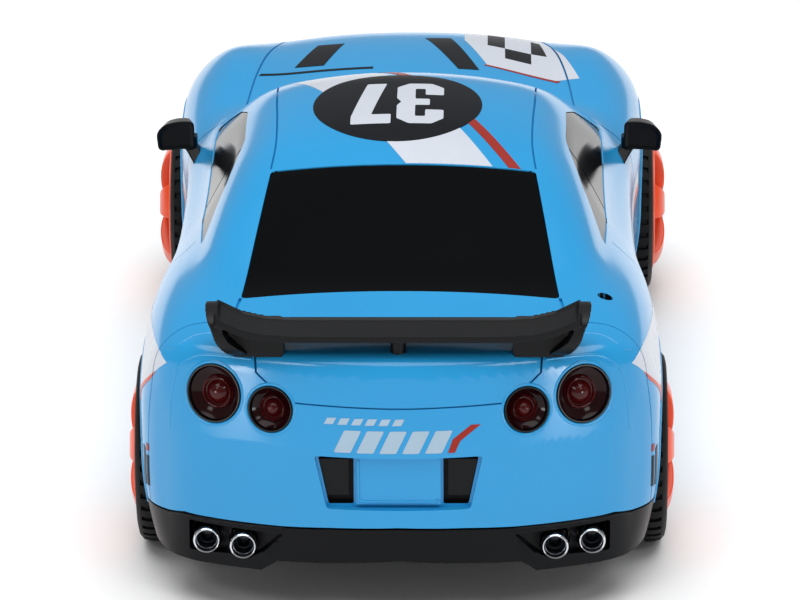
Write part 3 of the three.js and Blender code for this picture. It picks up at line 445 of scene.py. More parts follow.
def apply(obj, kind, **settings):
    alone(obj)
    mod = obj.modifiers.new(kind.lower(), kind)
    for key, value in settings.items():
        setattr(mod, key, value)
    bpy.ops.object.modifier_apply(modifier=mod.name)
    return obj


def boolean(obj, other, how="DIFFERENCE", keep=False):
    apply(obj, "BOOLEAN", object=other, operation=how, solver="MANIFOLD")
    if not keep:
        bpy.data.objects.remove(other, do_unlink=True)
    return obj


def eased(obj, width, segments=3, angle=35):
    """Breaks a piece's sharp edges with a small round."""
    return apply(obj, "BEVEL", width=width * MM, segments=segments, limit_method="ANGLE",
                 angle_limit=math.radians(angle))


def copy(obj, name):
    twin = obj.copy()
    twin.data = obj.data.copy()
    twin.name = twin.data.name = name
    bpy.context.scene.collection.objects.link(twin)
    return twin


def other_side(obj, name):
    """The same piece on the other side of the car."""
    twin = copy(obj, name)
    alone(twin)
    bpy.ops.object.mode_set(mode="EDIT")
    bpy.ops.mesh.select_all(action="SELECT")
    bpy.ops.transform.resize(value=(-1, 1, 1), center_override=(0, 0, 0))
    bpy.ops.mesh.flip_normals()
    bpy.ops.object.mode_set(mode="OBJECT")
    return twin


def mirrored(points):
    return [(-u, v) for u, v in reversed(points)]


def both_sides(half):
    """A line from the middle outwards, made whole from left to right."""
    return mirrored(half[1:] if half[0][0] == 0 else half) + list(half)


def side_of(s, points):
    return points if s > 0 else mirrored(points)


def rounded(points, r, steps=5):
    """Rounds an outline's corners by about r."""
    out, n = [], len(points)
    for i in range(n):
        a, b, c = (Vector(points[(i + k) % n]) for k in (-1, 0, 1))
        k = min(r, (a - b).length * 0.45, (c - b).length * 0.45)
        p, q = b + (a - b).normalized() * k, b + (c - b).normalized() * k
        for s in range(steps + 1):
            t = s / steps
            out.append(tuple((1 - t) ** 2 * p + 2 * t * (1 - t) * b + t * t * q))
    return out


def shrunk(points, by):
    """Moves an outline inwards, which leaves the gap round a pane."""
    n, out = len(points), []
    area = sum(a[0] * b[1] - b[0] * a[1] for a, b in zip(points, points[1:] + points[:1]))
    for i in range(n):
        a, b, c = (Vector(points[(i + k) % n]) for k in (-1, 0, 1))
        u, v = (b - a).normalized(), (c - b).normalized()
        nu, nv = (Vector((-w.y, w.x)) * math.copysign(1, area) for w in (u, v))
        out.append(tuple(b + (nu + nv) * by / max(1 + nu.dot(nv), 0.3)))
    return out


def ribbon(points, width):
    """A narrow outline that follows a line of points."""
    pts, left, right = [Vector(p) for p in points], [], []
    for i, p in enumerate(pts):
        d = (pts[min(i + 1, len(pts) - 1)] - pts[max(i - 1, 0)]).normalized()
        left.append(tuple(p + Vector((-d.y, d.x)) * width / 2))
        right.append(tuple(p - Vector((-d.y, d.x)) * width / 2))
    return left + right[::-1]


def curve(points, steps=8):
    """A smooth run of points through the given ones."""
    pts = [Vector(p) for p in points]
    out = []
    for i in range(len(pts) - 1):
        p0, p1, p2, p3 = pts[max(i - 1, 0)], pts[i], pts[i + 1], pts[min(i + 2, len(pts) - 1)]
        for s in range(steps):
            t = s / steps
            out.append(tuple(0.5 * (2 * p1 + (p2 - p0) * t + (2 * p0 - 5 * p1 + 4 * p2 - p3) * t**2
                                    + (3 * p1 - p0 - 3 * p2 + p3) * t**3)))
    return out + [tuple(pts[-1])]


def touch(starts, way, level=0.0):
    """Where straight lines from outside first meet the form."""
    p, d = np.array(starts, float), np.array(way, float)
    lo, hi = np.zeros(len(p)), np.zeros(len(p))
    for _ in range(400):
        out = form(p + d * hi[:, None]) > level
        if not out.any():
            break
        lo, hi = np.where(out, hi, lo), np.where(out, hi + 0.4, hi)
    for _ in range(20):
        mid = (lo + hi) / 2
        out = form(p + d * mid[:, None]) > level
        lo, hi = np.where(out, mid, lo), np.where(out, hi, mid)
    return [tuple(v) for v in p + d * hi[:, None]]


def bead(name, points, r, closed=False):
    """A thin round bead along points in mm, its ends closed."""
    data = bpy.data.curves.new(name, "CURVE")
    data.dimensions, data.bevel_depth, data.bevel_resolution, data.use_fill_caps = "3D", r * MM, 3, True
    spline = data.splines.new("POLY")
    spline.points.add(len(points) - 1)
    for knot, p in zip(spline.points, points):
        knot.co = (*(v * MM for v in p), 1)
    spline.use_cyclic_u = closed
    obj = bpy.data.objects.new(name, data)
    bpy.context.scene.collection.objects.link(obj)
    alone(obj)
    bpy.ops.object.convert(target="MESH")
    obj = bpy.context.object
    obj.name = obj.data.name = name
    face_out(obj)
    return obj


def finish(obj, body, slot, *materials, nodes=(), smooth=35):
    """Gives a piece its finish, the body it rides on and the solids that it stands for."""
    obj.data.materials.clear()
    for m in materials:
        obj.data.materials.append(m)
    if smooth:
        alone(obj)
        bpy.ops.object.shade_smooth_by_angle(angle=math.radians(smooth))
    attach(obj, body)
    if nodes:
        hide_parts(*nodes)
    return obj


def in_plate_recess(p):
    return p[1] < -94.4 and abs(p[0]) < 12.8 and 18.6 < p[2] < 27.4


def follow_form(obj, level=0.0, inside=None):
    """Corners on the form take its own normal, and faces of the inner wall a second finish, the near-black
    painted shade inside the shell.
    """
    mesh = obj.data
    co = np.empty(len(mesh.vertices) * 3)
    mesh.vertices.foreach_get("co", co)
    co = co.reshape(-1, 3) / MM
    f, grad = form(co), slope(co)
    on = np.abs(f - level) < 0.03
    normals = np.empty(len(mesh.loops) * 3, np.float32)
    mesh.corner_normals.foreach_get("vector", normals)
    normals = normals.reshape(-1, 3)
    for poly in mesh.polygons:
        vs = list(poly.vertices)
        if on[vs].all():
            normals[poly.loop_start:poly.loop_start + len(vs)] = grad[vs]
        # Faces of the inner wall take the near-black slot: painted shade inside the shell.
        elif inside is not None and f[vs].mean() < level - 0.9 and not in_plate_recess(co[vs].mean(0)):
            poly.material_index = inside
    mesh.normals_split_custom_set(normals.tolist())


# ---- body ----------------------------------------------------------------------------------
FINE = dict(stations=list(np.arange(-78, 80.1, 1.5)),
            half_ring=[-90, -60, -42, -32] + list(np.arange(-26, 88, 1.45)) + [90],
            fan=list(np.arange(2, 89, 1.7)))
MEDIUM = dict(stations=list(np.arange(-78, 80, 3.0)),
              half_ring=[-90, -50, -30] + list(np.arange(-20, 88, 3.0)) + [90],
              fan=list(np.arange(5, 88, 6.5)))
COARSE = dict(stations=list(np.arange(-76, 78, 5.0)),
              half_ring=[-90, -50, -30, -15, 0, 12, 22, 30, 36, 42, 48, 54, 62, 72, 90],
              fan=[12, 24, 36, 48, 60, 74])
# Outlines seen from behind as (x, z), from above as (x, y) and from the side as (y, z).
SPLIT = [(0, 16.2), (10, 15.9), (17, 15.5), (25, 15.3), (32, 15.2), (34.6, 14.4), (50, 11.6)]
DIFFUSER_EDGE = [(0, 10.9), (18.1, 9.8), (20.4, 8.1), (33.8, 7.7), (50, 9.2)]
HOLLOW = [(0, -93.4), (14, -91.4), (22, -88.4), (29, -84.4), (32, -79), (32, -70)]
POCKET_FLOOR = [(0, -95.4), (16.5, -93.0), (24, -90.4), (31.4, -86.4), (34, -70)]
POCKET = [(31.3, 14.2), (31.3, 9.4), (21, 10.4), (17, 14.2)]
REAR_GLASS = rounded([(-23.9, -72.6), (23.9, -72.6), (20.5, -39.5), (-20.5, -39.5)], 1.0)
SCREEN_GLASS = rounded([(-20.6, 6.5), (20.6, 6.5), (25.8, 32), (13, 34.6), (0, 35.4),
                        (-13, 34.6), (-25.8, 32)], 1.5)
SIDE_GLASS = rounded([(20, 40.6), (6, 47.8), (-3, 50.6), (-20, 51.2), (-33, 48.6), (-46, 42.6),
                      (-30, 41.2), (0, 40.4)], 2.0)
RECESS = rounded([(-12.4, 27.1), (-10.6, 18.9), (10.6, 18.9), (12.4, 27.1)], 0.6)
VENT = rounded([(6.6, 26.7), (6.6, 19.3), (10.3, 19.3), (11.8, 26.7)], 0.3)
GRILLE = rounded([(-9, 22.5), (9, 22.5), (10.5, 26.5), (-10.5, 26.5)], 0.8)
INTAKE = rounded([(-19, 11), (19, 11), (16, 19), (-16, 19)], 1.2)
HEADLAMP = rounded([(19.5, 24.6), (29.5, 27.2), (31.2, 32.4), (25.6, 31.6), (19.8, 28.2)], 1.2)


def lamp_seat(x, z):
    """The middle of a lamp on the tail, and the way it faces."""
    at = Vector(touch([(x, -110, z)], (0, 1, 0))[0])
    return at, Vector(slope(np.array([at]))[0])


LAMPS = {}
for side, s in (("left", -1), ("right", 1)):
    LAMPS["outer_" + side] = (*lamp_seat(s * LAMP_OUT[0], LAMP_OUT[1]), LAMP_OUT[2] + 0.2)
    LAMPS["inner_" + side] = (*lamp_seat(s * LAMP_IN[0], LAMP_IN[1]), LAMP_IN[2] + 0.1)


def across(s, near=20, far=45):
    """The reach of a cut through one side of the car."""
    return (near, far) if s > 0 else (-far, -near)


def arches(margin=0.0):
    """The wheel openings as bars right across the car."""
    return [round_bar((-60, REAR_Y, AXLE_Z), (60, REAR_Y, AXLE_Z), ARCH_REAR + margin, 96),
            round_bar((-60, FRONT_Y, AXLE_Z), (60, FRONT_Y, AXLE_Z), ARCH_FRONT + margin, 96)]


def shut_lines():
    """Thin walls where the doors, bonnet, boot lid, bumpers and roof rails meet the panels."""
    walls = []

    def wall(axis, points, a, b, steps, width=SHUT_LINE):
        run = curve(points, steps) if steps else points
        walls.append(prism(axis, ribbon(run, width), a, b))

    door = [(24.5, 40.2), (25.6, 34), (25.2, 20), (22.5, 11.6), (18, 10.6), (-22, 10.6),
            (-28, 13.5), (-35, 25), (-38.5, 34), (-38.8, 40.8)]
    rear_bumper = [(-79.8, 12), (-80.2, 24), (-81.2, 34), (-80.6, 39), (-79.0, 43)]
    front_bumper = [(76.5, 8), (77.5, 20), (80.5, 27)]
    bonnet = [(27.5, 33), (26.5, 46), (24.5, 62), (21.5, 76), (18.0, 86)]
    roof_rail = [(20.5, -38.8), (20.0, -31), (20.2, -20), (20.6, -10), (20.9, 4)]
    for s in (-1, 1):
        flank = across(s, 28, 50)
        wall("y", [(s * 21.2, 43.0), (s * 20.9, 38.6), (s * 18.9, 36.9)], -110, -88, 0)
        wall("x", door, *flank, 5)
        wall("x", rear_bumper, *flank, 4, SHUT_LINE * 0.8)
        wall("x", front_bumper, *flank, 4)
        wall("z", [(s * x, y) for x, y in bonnet], 26, 50, 5)
        wall("z", [(s * x, y) for x, y in roof_rail], 45, 60, 5, SHUT_LINE * 0.9)
        wall("z", [(s * 23.9, -72.4), (s * 24.5, -76.5)], 40, 50, 0, 0.5)
    wall("y", both_sides([(0, 34.5), (8, 34.6), (15.4, 34.7)]), -110, -90, 4, SHUT_LINE * 0.7)
    wall("z", both_sides([(0, 90.4), (9, 89.4), (18.0, 86)]), 26, 50, 4)
    return walls


def body():
    """The painted shell with its openings and shut lines; returns the film that the livery is cut from."""
    shell = skin("body", 0, **FINE)
    boolean(shell, skin("inside", -WALL, **COARSE))
    backing = boolean(block(-14, 14, -97, -91, 18.4, 28.6), skin("core", -0.9, **MEDIUM), "INTERSECT")
    boolean(shell, backing, "UNION")
    boolean(shell, prism("y", [(-50, -8), (50, -8)] + both_sides(SPLIT)[::-1], -120, -59.3))
    boolean(shell, block(-60, 60, -59.4, 120, -8, 8.2))
    for bar in arches():
        boolean(shell, bar)
    boolean(shell, prism("z", REAR_GLASS, 38, 62))
    boolean(shell, prism("z", SCREEN_GLASS, 38, 62))
    for s in (-1, 1):
        boolean(shell, prism("x", SIDE_GLASS, *across(s)))
        boolean(shell, prism("y", side_of(s, HEADLAMP), 66, 110))
        boolean(shell, prism("y", side_of(s, VENT), -110, -93.3))
    for at, way, r in LAMPS.values():
        boolean(shell, round_bar(at - way * 6, at + way * 6, r + 0.1))
    pocket = prism("y", RECESS, -110, -94.7)
    boolean(pocket, block(-6.2, 6.2, -95.6, -90, 19.5, 26.8))
    boolean(shell, pocket)
    boolean(shell, prism("y", GRILLE, 88, 110))
    boolean(shell, prism("y", INTAKE, 86, 110))
    boolean(shell, round_bar((30.7, -70.2, 35), (30.7, -70.2, 60), 1.15, 32))
    core = skin("core", -0.5, **MEDIUM)
    film = skin("film", FILM, **FINE)
    boolean(film, skin("film inside", FILM_BACK, **MEDIUM))
    for wall in shut_lines():
        boolean(wall, core, keep=True)
        boolean(film, wall, keep=True)
        boolean(shell, wall)
    bpy.data.objects.remove(core)
    for bar in arches(0.9):
        boolean(film, bar)
    # The second slot paints the shell's inner faces near-black, as painted shade.
    finish(shell, "car", "body_paint", PAINT, SHADED_INSIDE, nodes=["body_shell"])
    follow_form(shell, inside=1)
    return film


def wheel_wells():
    """A black liner inside each arch: a rolled sheet with a ring wall towards the middle of the car."""
    for name, y, r, inner_x, hole in (("rear", REAR_Y, ARCH_REAR, 27.4, 13.2),
                                      ("front", FRONT_Y, ARCH_FRONT, 22.0, 14.5)):
        deep, thick = 38 - inner_x, 0.8
        inside, outside = r + 0.1, r + 0.1 + thick
        profile = [(0, hole), (0, outside), (deep, outside), (deep, inside), (thick, inside),
                   (thick, hole), (0, hole)]
        right = turned("wheel_well_%s_right" % name, profile, (inner_x, y, AXLE_Z), (1, 0, 0), 80)
        boolean(right, skin("shell middle", -1.0, **MEDIUM), "INTERSECT")
        boolean(right, block(0, 60, y - 30, y + 30, -20, 9.4))
        left = other_side(right, "wheel_well_%s_left" % name)
        for obj in (right, left):
            finish(obj, "car", "chassis_black", CHASSIS)


def panes():
    shell = skin("pane", PANE, **FINE)
    boolean(shell, skin("pane inside", PANE_BACK, **COARSE))

    def pane(name, cutter, node_name, slot="window_black", material=WINDOW):
        piece = boolean(copy(shell, name), cutter, "INTERSECT")
        finish(piece, "car", slot, material, nodes=[node_name])
        follow_form(piece, PANE)

    pane("rear_window_glass", prism("z", shrunk(REAR_GLASS, 0.15), 38, 62), "rear_window")
    pane("windshield_glass", prism("z", shrunk(SCREEN_GLASS, 0.15), 38, 62), "windshield")
    for s, side in ((-1, "left"), (1, "right")):
        glass = prism("x", shrunk(SIDE_GLASS, 0.15), *across(s))
        boolean(glass, prism("x", ribbon([(-24.5, 40), (-21.5, 52)], 0.7), *across(s)))
        pane("side_window_glass_" + side, glass, "side_window_" + side)
        lens = prism("y", side_of(s, shrunk(HEADLAMP, 0.15)), 66.4, 110)
        pane("headlamp_lens_" + side, lens, "headlamp_" + side, "headlamp_clear", CLEAR)
    bpy.data.objects.remove(shell)


# ---- livery: thin films on the paint -------------------------------------------------------
def ellipse(x, y, a, b, n=72):
    return [(x + a * math.cos(2 * math.pi * k / n), y + b * math.sin(2 * math.pi * k / n)) for k in range(n)]


ROUNDEL = (-1.2, -17.5, 13.4, 15.5)
THREE = [(0, 12.0), (0, 15.4), (1.9, 17.4), (5.5, 17.4), (7.4, 15.5), (7.4, 10.3), (6.7, 8.75), (7.4, 7.2),
         (7.4, 2.0), (5.5, 0), (1.9, 0), (0, 2.0), (0, 5.5), (2.9, 5.5), (2.9, 2.7), (4.5, 2.7), (4.5, 7.4),
         (2.2, 7.4), (2.2, 10.1), (4.5, 10.1), (4.5, 14.7), (2.9, 14.7), (2.9, 12.0)]
SEVEN = [(0, 17.4), (6.3, 17.4), (6.3, 14.6), (3.9, 0), (0.8, 0), (3.1, 13.9), (0, 13.9)]


def digit(points, shift):
    """A digit laid on the roof so that it reads from ahead of the car."""
    x, y = ROUNDEL[:2]
    return [(x - (u - 7.3 + shift), y - (v - 8.7) * 1.07) for u, v in rounded(points, 0.35, 3)]


def sticker(film, name, material, axis, points, a, b, without=()):
    """A piece of vinyl: the film inside an outline, less the outlines that other pieces fill."""
    piece = boolean(copy(film, name), prism(axis, points, a, b), "INTERSECT")
    for outline in without:
        boolean(piece, prism(axis, outline, a - 2, b + 2))
    finish(piece, "car", "body_paint", material)
    follow_form(piece, FILM)


def roof_livery(film):
    disc = ellipse(*ROUNDEL)
    three, seven = digit(THREE, 0), digit(SEVEN, 8.3)
    stripe = [(0.4, -39.3), (13.8, -39.3), (-6.3, 5.6), (-20.9, 5.6)]
    pinstripe = [(16.3, -39.3), (18.2, -39.3), (-2.8, 5.6), (-4.7, 5.6)]
    for name, material, points, without in (("roof_stripe", WHITE, stripe, [disc]),
                                            ("roof_pinstripe", RED, pinstripe, [disc]),
                                            ("roof_roundel", DARK, disc, [three, seven]),
                                            ("roof_digit_three", WHITE, three, []),
                                            ("roof_digit_seven", WHITE, seven, [])):
        sticker(film, name, material, "z", points, 45, 60, without)


def bonnet_livery(film):
    def laid(name, material, points, without=()):
        sticker(film, name, material, "z", points, 28, 50, without)

    panel = [(9, 80), (9, 66.1), (12.9, 50.6), (24.6, 44.2), (28.6, 45.6), (26.0, 58), (23.6, 66), (21.0, 75)]
    checks = [[(13, 74), (13, 63), (16, 61.5), (16, 72.5)],
              [(16, 61.5), (16, 55), (20.5, 52.5), (20.5, 59)],
              [(20.5, 70), (20.5, 59), (23.2, 57.6), (22.0, 68)]]
    laid("bonnet_panel", WHITE, panel, checks)
    for k, check in enumerate(checks):
        laid("bonnet_check_%d" % (k + 1), DARK, check)
    laid("bonnet_edge", RED, [(12.4, 50.2), (24.9, 43.2), (25.4, 44.0), (12.9, 51.0)], [panel])
    laid("bonnet_band_right", DARK, [(2.2, 67), (6.6, 67.4), (11.6, 47.4), (8.0, 47.6)])
    laid("bonnet_band_left", DARK, [(-20.0, 50.6), (-15.0, 50.6), (-11.8, 64), (-16.4, 64)])
    laid("bonnet_dash_left", DARK, [(-26.0, 46.8), (-6.5, 47.6), (-6.5, 48.6), (-25.6, 47.8)])


def side_livery(film):
    sweep = curve([(-84.3, 37.5), (-79.7, 38.3), (-66, 37.2), (-45, 34.2), (-20, 31.2), (10, 29.4),
                   (33, 28.8)], 4)
    under = curve([(33, 27.0), (10, 27.0), (-20, 28.0), (-45, 30.2), (-59, 32.6), (-70, 29.4),
                   (-76.2, 31.4), (-82.1, 35.4)], 4)
    low = curve([(33, 25.4), (10, 25.2), (-20, 26.0), (-45, 28.0), (-59, 31.0), (-68, 24.0),
                 (-74.4, 29.2), (-80.4, 33.4)], 4)
    first_tick = [(-80.3, 16.4), (-79.3, 16.0), (-79.3, 21.0), (-80.3, 21.2)]
    second_tick = [(-78.7, 16.0), (-77.7, 15.8), (-77.7, 22.2), (-78.7, 21.8)]
    red_tick = [(-80.4, 21.9), (-79.3, 21.8), (-79.3, 22.9), (-80.4, 23.0)]
    for s, side in ((-1, "left"), (1, "right")):
        for name, material, points in (("side_sweep_white_" + side, WHITE, sweep + under),
                                       ("side_sweep_orange_" + side, EMBER, under[::-1] + low),
                                       ("side_tick_dark_%s_1" % side, DARK, first_tick),
                                       ("side_tick_dark_%s_2" % side, DARK, second_tick),
                                       ("side_tick_red_" + side, RED, red_tick)):
            sticker(film, name, material, "x", points, *across(s, 30, 45))


def tail_livery(film):
    def printed(name, material, points):
        sticker(film, name, material, "y", points, -100, -90)

    for k in range(5):
        x = -9.5 + 3.35 * k
        bar = [(x, 27.9), (x + 2.5, 27.9), (x + 4.1, 31.2), (x + 1.6, 31.2)]
        printed("tail_bar_%d" % (k + 1), PALE, rounded(bar, 0.25, 3))
    for k in range(6):
        x = -10.9 + 2.0 * k
        dash = [(x, 32.0), (x + 1.35, 32.05), (x + 1.85, 33.0), (x + 0.5, 32.95)]
        printed("tail_dash_%d" % (k + 1), PALE, dash)
    slash = [(7.3, 27.9), (8.3, 27.9), (9.1, 29.6), (12.1, 31.9), (10.7, 31.9), (8.0, 29.9)]
    printed("tail_slash", RED, slash)


def livery(film):
    for part in (roof_livery, bonnet_livery, side_livery, tail_livery):
        part(film)
    bpy.data.objects.remove(film)


# ---- rolled edges and creases in the paint ---------------------------------------------------
def beads():
    def ridge(name, points, r, sink, closed=False, material=PAINT, slot="body_paint"):
        p = np.array(points, float)
        finish(bead(name, p - slope(p) * sink, r, closed), "car", slot, material, smooth=60)

    for name, (at, way, r) in LAMPS.items():
        u = way.orthogonal().normalized()
        v = way.cross(u)
        turns = np.linspace(0, 2 * math.pi, 73)[:-1]
        ring = [at + (u * math.cos(a) + v * math.sin(a)) * (r + 0.28) + way * 5 for a in turns]
        ridge("lamp_rim_" + name, touch(ring, tuple(-way)), 0.3, 0.18, True)
    for s, side in ((-1, "left"), (1, "right")):
        for name, y, r in (("rear", REAR_Y, ARCH_REAR), ("front", FRONT_Y, ARCH_FRONT)):
            turns = np.radians(np.linspace(-20, 200, 81))
            arc = [(s * 60, y + r * math.cos(a), AXLE_Z + r * math.sin(a)) for a in turns]
            if name == "rear":
                arc = [p for p in arc if p[2] > 12.0 or p[1] > REAR_Y]
            arc = touch([p for p in arc if p[2] > 8.5], (-s, 0, 0))
            ridge("arch_lip_%s_%s" % (name, side), arc, 0.42, 0.25)
        lamp_panel = curve([(21.6, 40.4), (26.0, 40.3), (29.3, 39.9), (31.2, 38.9), (32.6, 37.6),
                            (33.3, 35.2), (33.9, 31.5), (34.1, 27.5)], 5)
        crease = touch([(s * x, -110, z) for x, z in lamp_panel], (0, 1, 0))
        ridge("lamp_panel_crease_" + side, crease, 0.35, 0.27)
        shoulder = curve([(27.4, -82.6), (30.2, -82.9), (32.0, -84.0), (33.2, -84.2), (34.3, -83.0)], 5)
        ridge("shoulder_crease_" + side, touch([(s * x, y, 60) for x, y in shoulder], (0, 0, -1)), 0.3, 0.22)
    pad = rounded([(-5.9, 27.0), (-5.9, 19.9), (5.9, 19.9), (5.9, 27.0)], 0.8, 6)[5:19]
    border = bead("plate_pad_border", [(x, -95.6, z) for x, z in pad], 0.22)
    finish(border, "car", "body_paint", PAINT, smooth=60)
    edge = [(x, -110, z - 0.45) for x, z in curve(SPLIT[2:6], 6)]
    for s, side in ((-1, "left"), (1, "right")):
        top = touch([(s * x, y, z) for x, y, z in edge], (0, 1, 0))
        ridge("diffuser_top_bead_" + side, top, 0.26, 0.12, False, GLOSS_BLACK, "diffuser_black")


def second_finish(obj, at, along, test):
    """Gives a turned piece its second finish where the test of (along, out) in mm passes."""
    d = Vector(along).normalized()
    for poly in obj.data.polygons:
        off = poly.center / MM - Vector(at)
        u = off.dot(d)
        poly.material_index = int(test(u, (off - d * u).length))


# ---- tail lamps ------------------------------------------------------------------------------
def tail_lamps():
    for name, (at, way, r) in LAMPS.items():
        k = r / 4.45
        bezel = [(-2.6, 0), (-2.6, r), (-0.12, r), (0.1, r - 0.12), (0.1, r - 0.3), (-0.1, r - 0.42),
                 (-0.35, r - 0.5), (-2.0, r - 0.9), (-2.0, 0)]
        finish(turned("lamp_bezel_" + name, bezel, at, way), "car", "lamp_red", LAMP_DARK, smooth=50)
        bowl = [(-2.2, 0), (-2.2, r - 0.45), (-0.42, r - 0.45), (-0.5, r - 0.55), (-0.95, 3.3 * k),
                (-1.3, 2.55 * k), (-1.35, 2.4 * k), (-0.95, 2.3 * k), (-0.9, 2.2 * k), (-0.98, 2.1 * k),
                (-1.45, 2.02 * k), (-1.5, 1.8 * k), (-1.3, 1.55 * k), (-0.85, 1.2 * k), (-0.55, 0.75 * k),
                (-0.45, 0.35 * k), (-0.43, 0)]
        lens = turned("lamp_bowl_" + name, bowl, at, way)
        finish(lens, "car", "lamp_red", LAMP, LAMP_EYE, nodes=["tail_lamp_" + name], smooth=40)
        second_finish(lens, at, way, lambda u, out: out < 2.5 * k)


# ---- diffuser and exhausts -------------------------------------------------------------------
def diffuser():
    piece = skin("rear_diffuser_moulding", 0, **FINE)
    under = both_sides(DIFFUSER_EDGE) + both_sides([(x, z - 0.3) for x, z in SPLIT])[::-1]
    boolean(piece, prism("y", under, -120, -77.2), "INTERSECT")
    boolean(piece, prism("z", both_sides(HOLLOW), -5, 30))
    boolean(piece, prism("x", [(-77.2, 8.6), (-94.2, 11.2), (-94.2, 12.9), (-77.2, 10.3)], -22, 22), "UNION")
    for s in (-1, 1):
        pocket = prism("y", side_of(s, rounded(POCKET, 0.4, 3)), -120, -80)
        boolean(pocket, prism("z", both_sides(POCKET_FLOOR), -5, 30))
        boolean(piece, pocket)
        for x, mouth in EXHAUSTS:
            boolean(piece, round_bar((s * x, -110, EXHAUST_Z), (s * x, -70, EXHAUST_Z), 2.3, 48))
        for x in (5, 11.5):
            fin = prism("x", [(-79, 7.6), (-93, 9.6), (-93, 11.5), (-79, 9.6)], s * x - 0.6, s * x + 0.6)
            boolean(piece, fin, "UNION")
    finish(piece, "car", "diffuser_black", GLOSS_BLACK, nodes=["rear_diffuser"])
    follow_form(piece)


def exhausts():
    tip = [(8, 1.5), (8, 2.0), (0.35, 2.0), (0.1, 1.94), (0, 1.83), (0.05, 1.7), (0.25, 1.62),
           (0.9, 1.58), (0.95, 1.5), (2.8, 1.42), (3.0, 1.15), (2.6, 1.08), (2.55, 0.98), (2.7, 0.9),
           (4.6, 0.8), (4.6, 0.0), (5.2, 0.0), (5.2, 1.5), (8, 1.5)]
    for place, (x, mouth) in zip(("outer", "inner"), EXHAUSTS):
        right = turned("exhaust_tip_%s_right" % place, tip, (x, mouth, EXHAUST_Z), (0, 1, 0), 48)
        left = other_side(right, "exhaust_tip_%s_left" % place)
        for obj, side in ((right, "right"), (left, "left")):
            node = "exhaust_%s_%s" % (place, side)
            finish(obj, "car", "exhaust_chrome", CHROME, SHADED_BORE, nodes=[node], smooth=45)
            mouth_at = (x if side == "right" else -x, mouth, EXHAUST_Z)
            # The bore's faces take the dull dark metal: painted shade inside the pipe.
            second_finish(obj, mouth_at, (0, 1, 0), lambda u, out: 0.5 < u < 5.3 and out < 1.6)


# ---- rear wing and mirrors -------------------------------------------------------------------
def softened(obj, voxel, rounds, keep):
    """Runs unioned pieces together as one soft moulding."""
    apply(obj, "REMESH", mode="VOXEL", voxel_size=voxel * MM)
    apply(obj, "SMOOTH", factor=0.5, iterations=rounds)
    apply(obj, "DECIMATE", ratio=keep)
    return obj


# The wing's end plate from the side, the two faces of its curl from behind, and its foot from behind.
WING_END = [(-91.2, 41.0), (-93.4, 42.8), (-94.5, 45.0), (-94.4, 47.3), (-92.2, 48.1), (-89.2, 48.5),
            (-86.8, 48.2), (-85.2, 47.0), (-86, 44), (-88, 41.0)]
WING_CURL_OUT = [(24.0, 40.8), (25.4, 42.0), (26.7, 44.2), (27.3, 46.2), (28.5, 48.6)]
WING_CURL_IN = [(26.5, 48.6), (25.7, 46.2), (24.7, 44.2), (22.8, 42.4), (21.4, 40.8)]
WING_FOOT = [(16.8, 40.6), (16.8, 44.8), (24.8, 46.4), (26.6, 44.2), (25.4, 42.0), (23.6, 40.6)]


def rear_wing():
    blade = begin("rear_wing_moulding", "cube", size=1, location=(0, -0.0904, 0.044875),
                  scale=(0.032, 0.0084, 0.00125))
    for s in (-1, 1):
        pick("FACE", lambda p, f: s * p.x > 15.9)
        for dx, dz in ((4, 0.3), (3, 0.7), (2.2, 1.0), (1.4, 0.7)):
            pull(s * dx, 0, dz)
    pick("FACE", lambda p, f: f.normal.z > 0.5)
    bpy.ops.mesh.inset(thickness=0.75 * MM)
    move(z=-0.38)
    bpy.ops.object.mode_set(mode="OBJECT")
    for s in (-1, 1):
        plate = prism("x", rounded(WING_END, 1.2, 4), -40, 40)
        curl = curve(WING_CURL_OUT, 4) + curve(WING_CURL_IN, 4)
        boolean(plate, prism("y", side_of(s, curl), -100, -80), "INTERSECT")
        boolean(blade, plate, "UNION")
        foot = prism("x", [(-91.4, 41.0), (-91.4, 45.2), (-87.6, 45.2), (-87.6, 41.0)], -40, 40)
        boolean(foot, prism("y", side_of(s, rounded(WING_FOOT, 1.0, 4)), -100, -80), "INTERSECT")
        boolean(blade, foot, "UNION")
    boolean(blade, round_bar((0, -91.3, 40.5), (0, -91.3, 45), 1.15, 24), "UNION")
    softened(blade, 0.2, 3, 0.3)
    boolean(blade, skin("deck", 0.05, **MEDIUM))
    finish(blade, "car", "trim_black", BLACK, nodes=["rear_wing"], smooth=50)


MIRROR = rounded([(35.5, 37.0), (41.7, 36.5), (42.0, 39.7), (40.7, 41.1), (38.4, 41.7), (35.6, 41.7)], 0.9, 5)


def mirrors():
    head = prism("y", MIRROR, 19.7, 24.1, "mirror_housing_right")
    alone(head)
    bpy.ops.object.mode_set(mode="EDIT")
    pick("FACE", lambda p, f: f.normal.y > 0.5)
    bpy.ops.transform.resize(value=(0.72, 1, 0.72))
    pick("FACE", lambda p, f: f.normal.y < -0.5)
    bpy.ops.mesh.inset(thickness=0.45 * MM)
    pull(y=0.2)
    bpy.ops.object.mode_set(mode="OBJECT")
    stem = begin("stem", "cube", size=1, location=(0.0363, 0.0213, 0.0380), scale=(0.0022, 0.0028, 0.0018))
    pick("FACE", lambda p, f: f.normal.z < -0.5)
    for dx, dy, dz in ((-0.9, -0.8, -1.0), (-0.9, -1.0, -1.0), (-0.5, -0.8, -1.0)):
        pull(dx, dy, dz)
        bpy.ops.transform.resize(value=(1.1, 1.15, 1))
    bpy.ops.object.mode_set(mode="OBJECT")
    boolean(head, eased(stem, 0.3, 2, 60), "UNION")
    softened(head, 0.15, 4, 0.35)
    boolean(head, skin("door", 0.05, **MEDIUM))
    left = other_side(head, "mirror_housing_left")
    for obj, side in ((head, "right"), (left, "left")):
        finish(obj, "car", "trim_black", GLOSS_BLACK, nodes=["mirror_" + side], smooth=50)


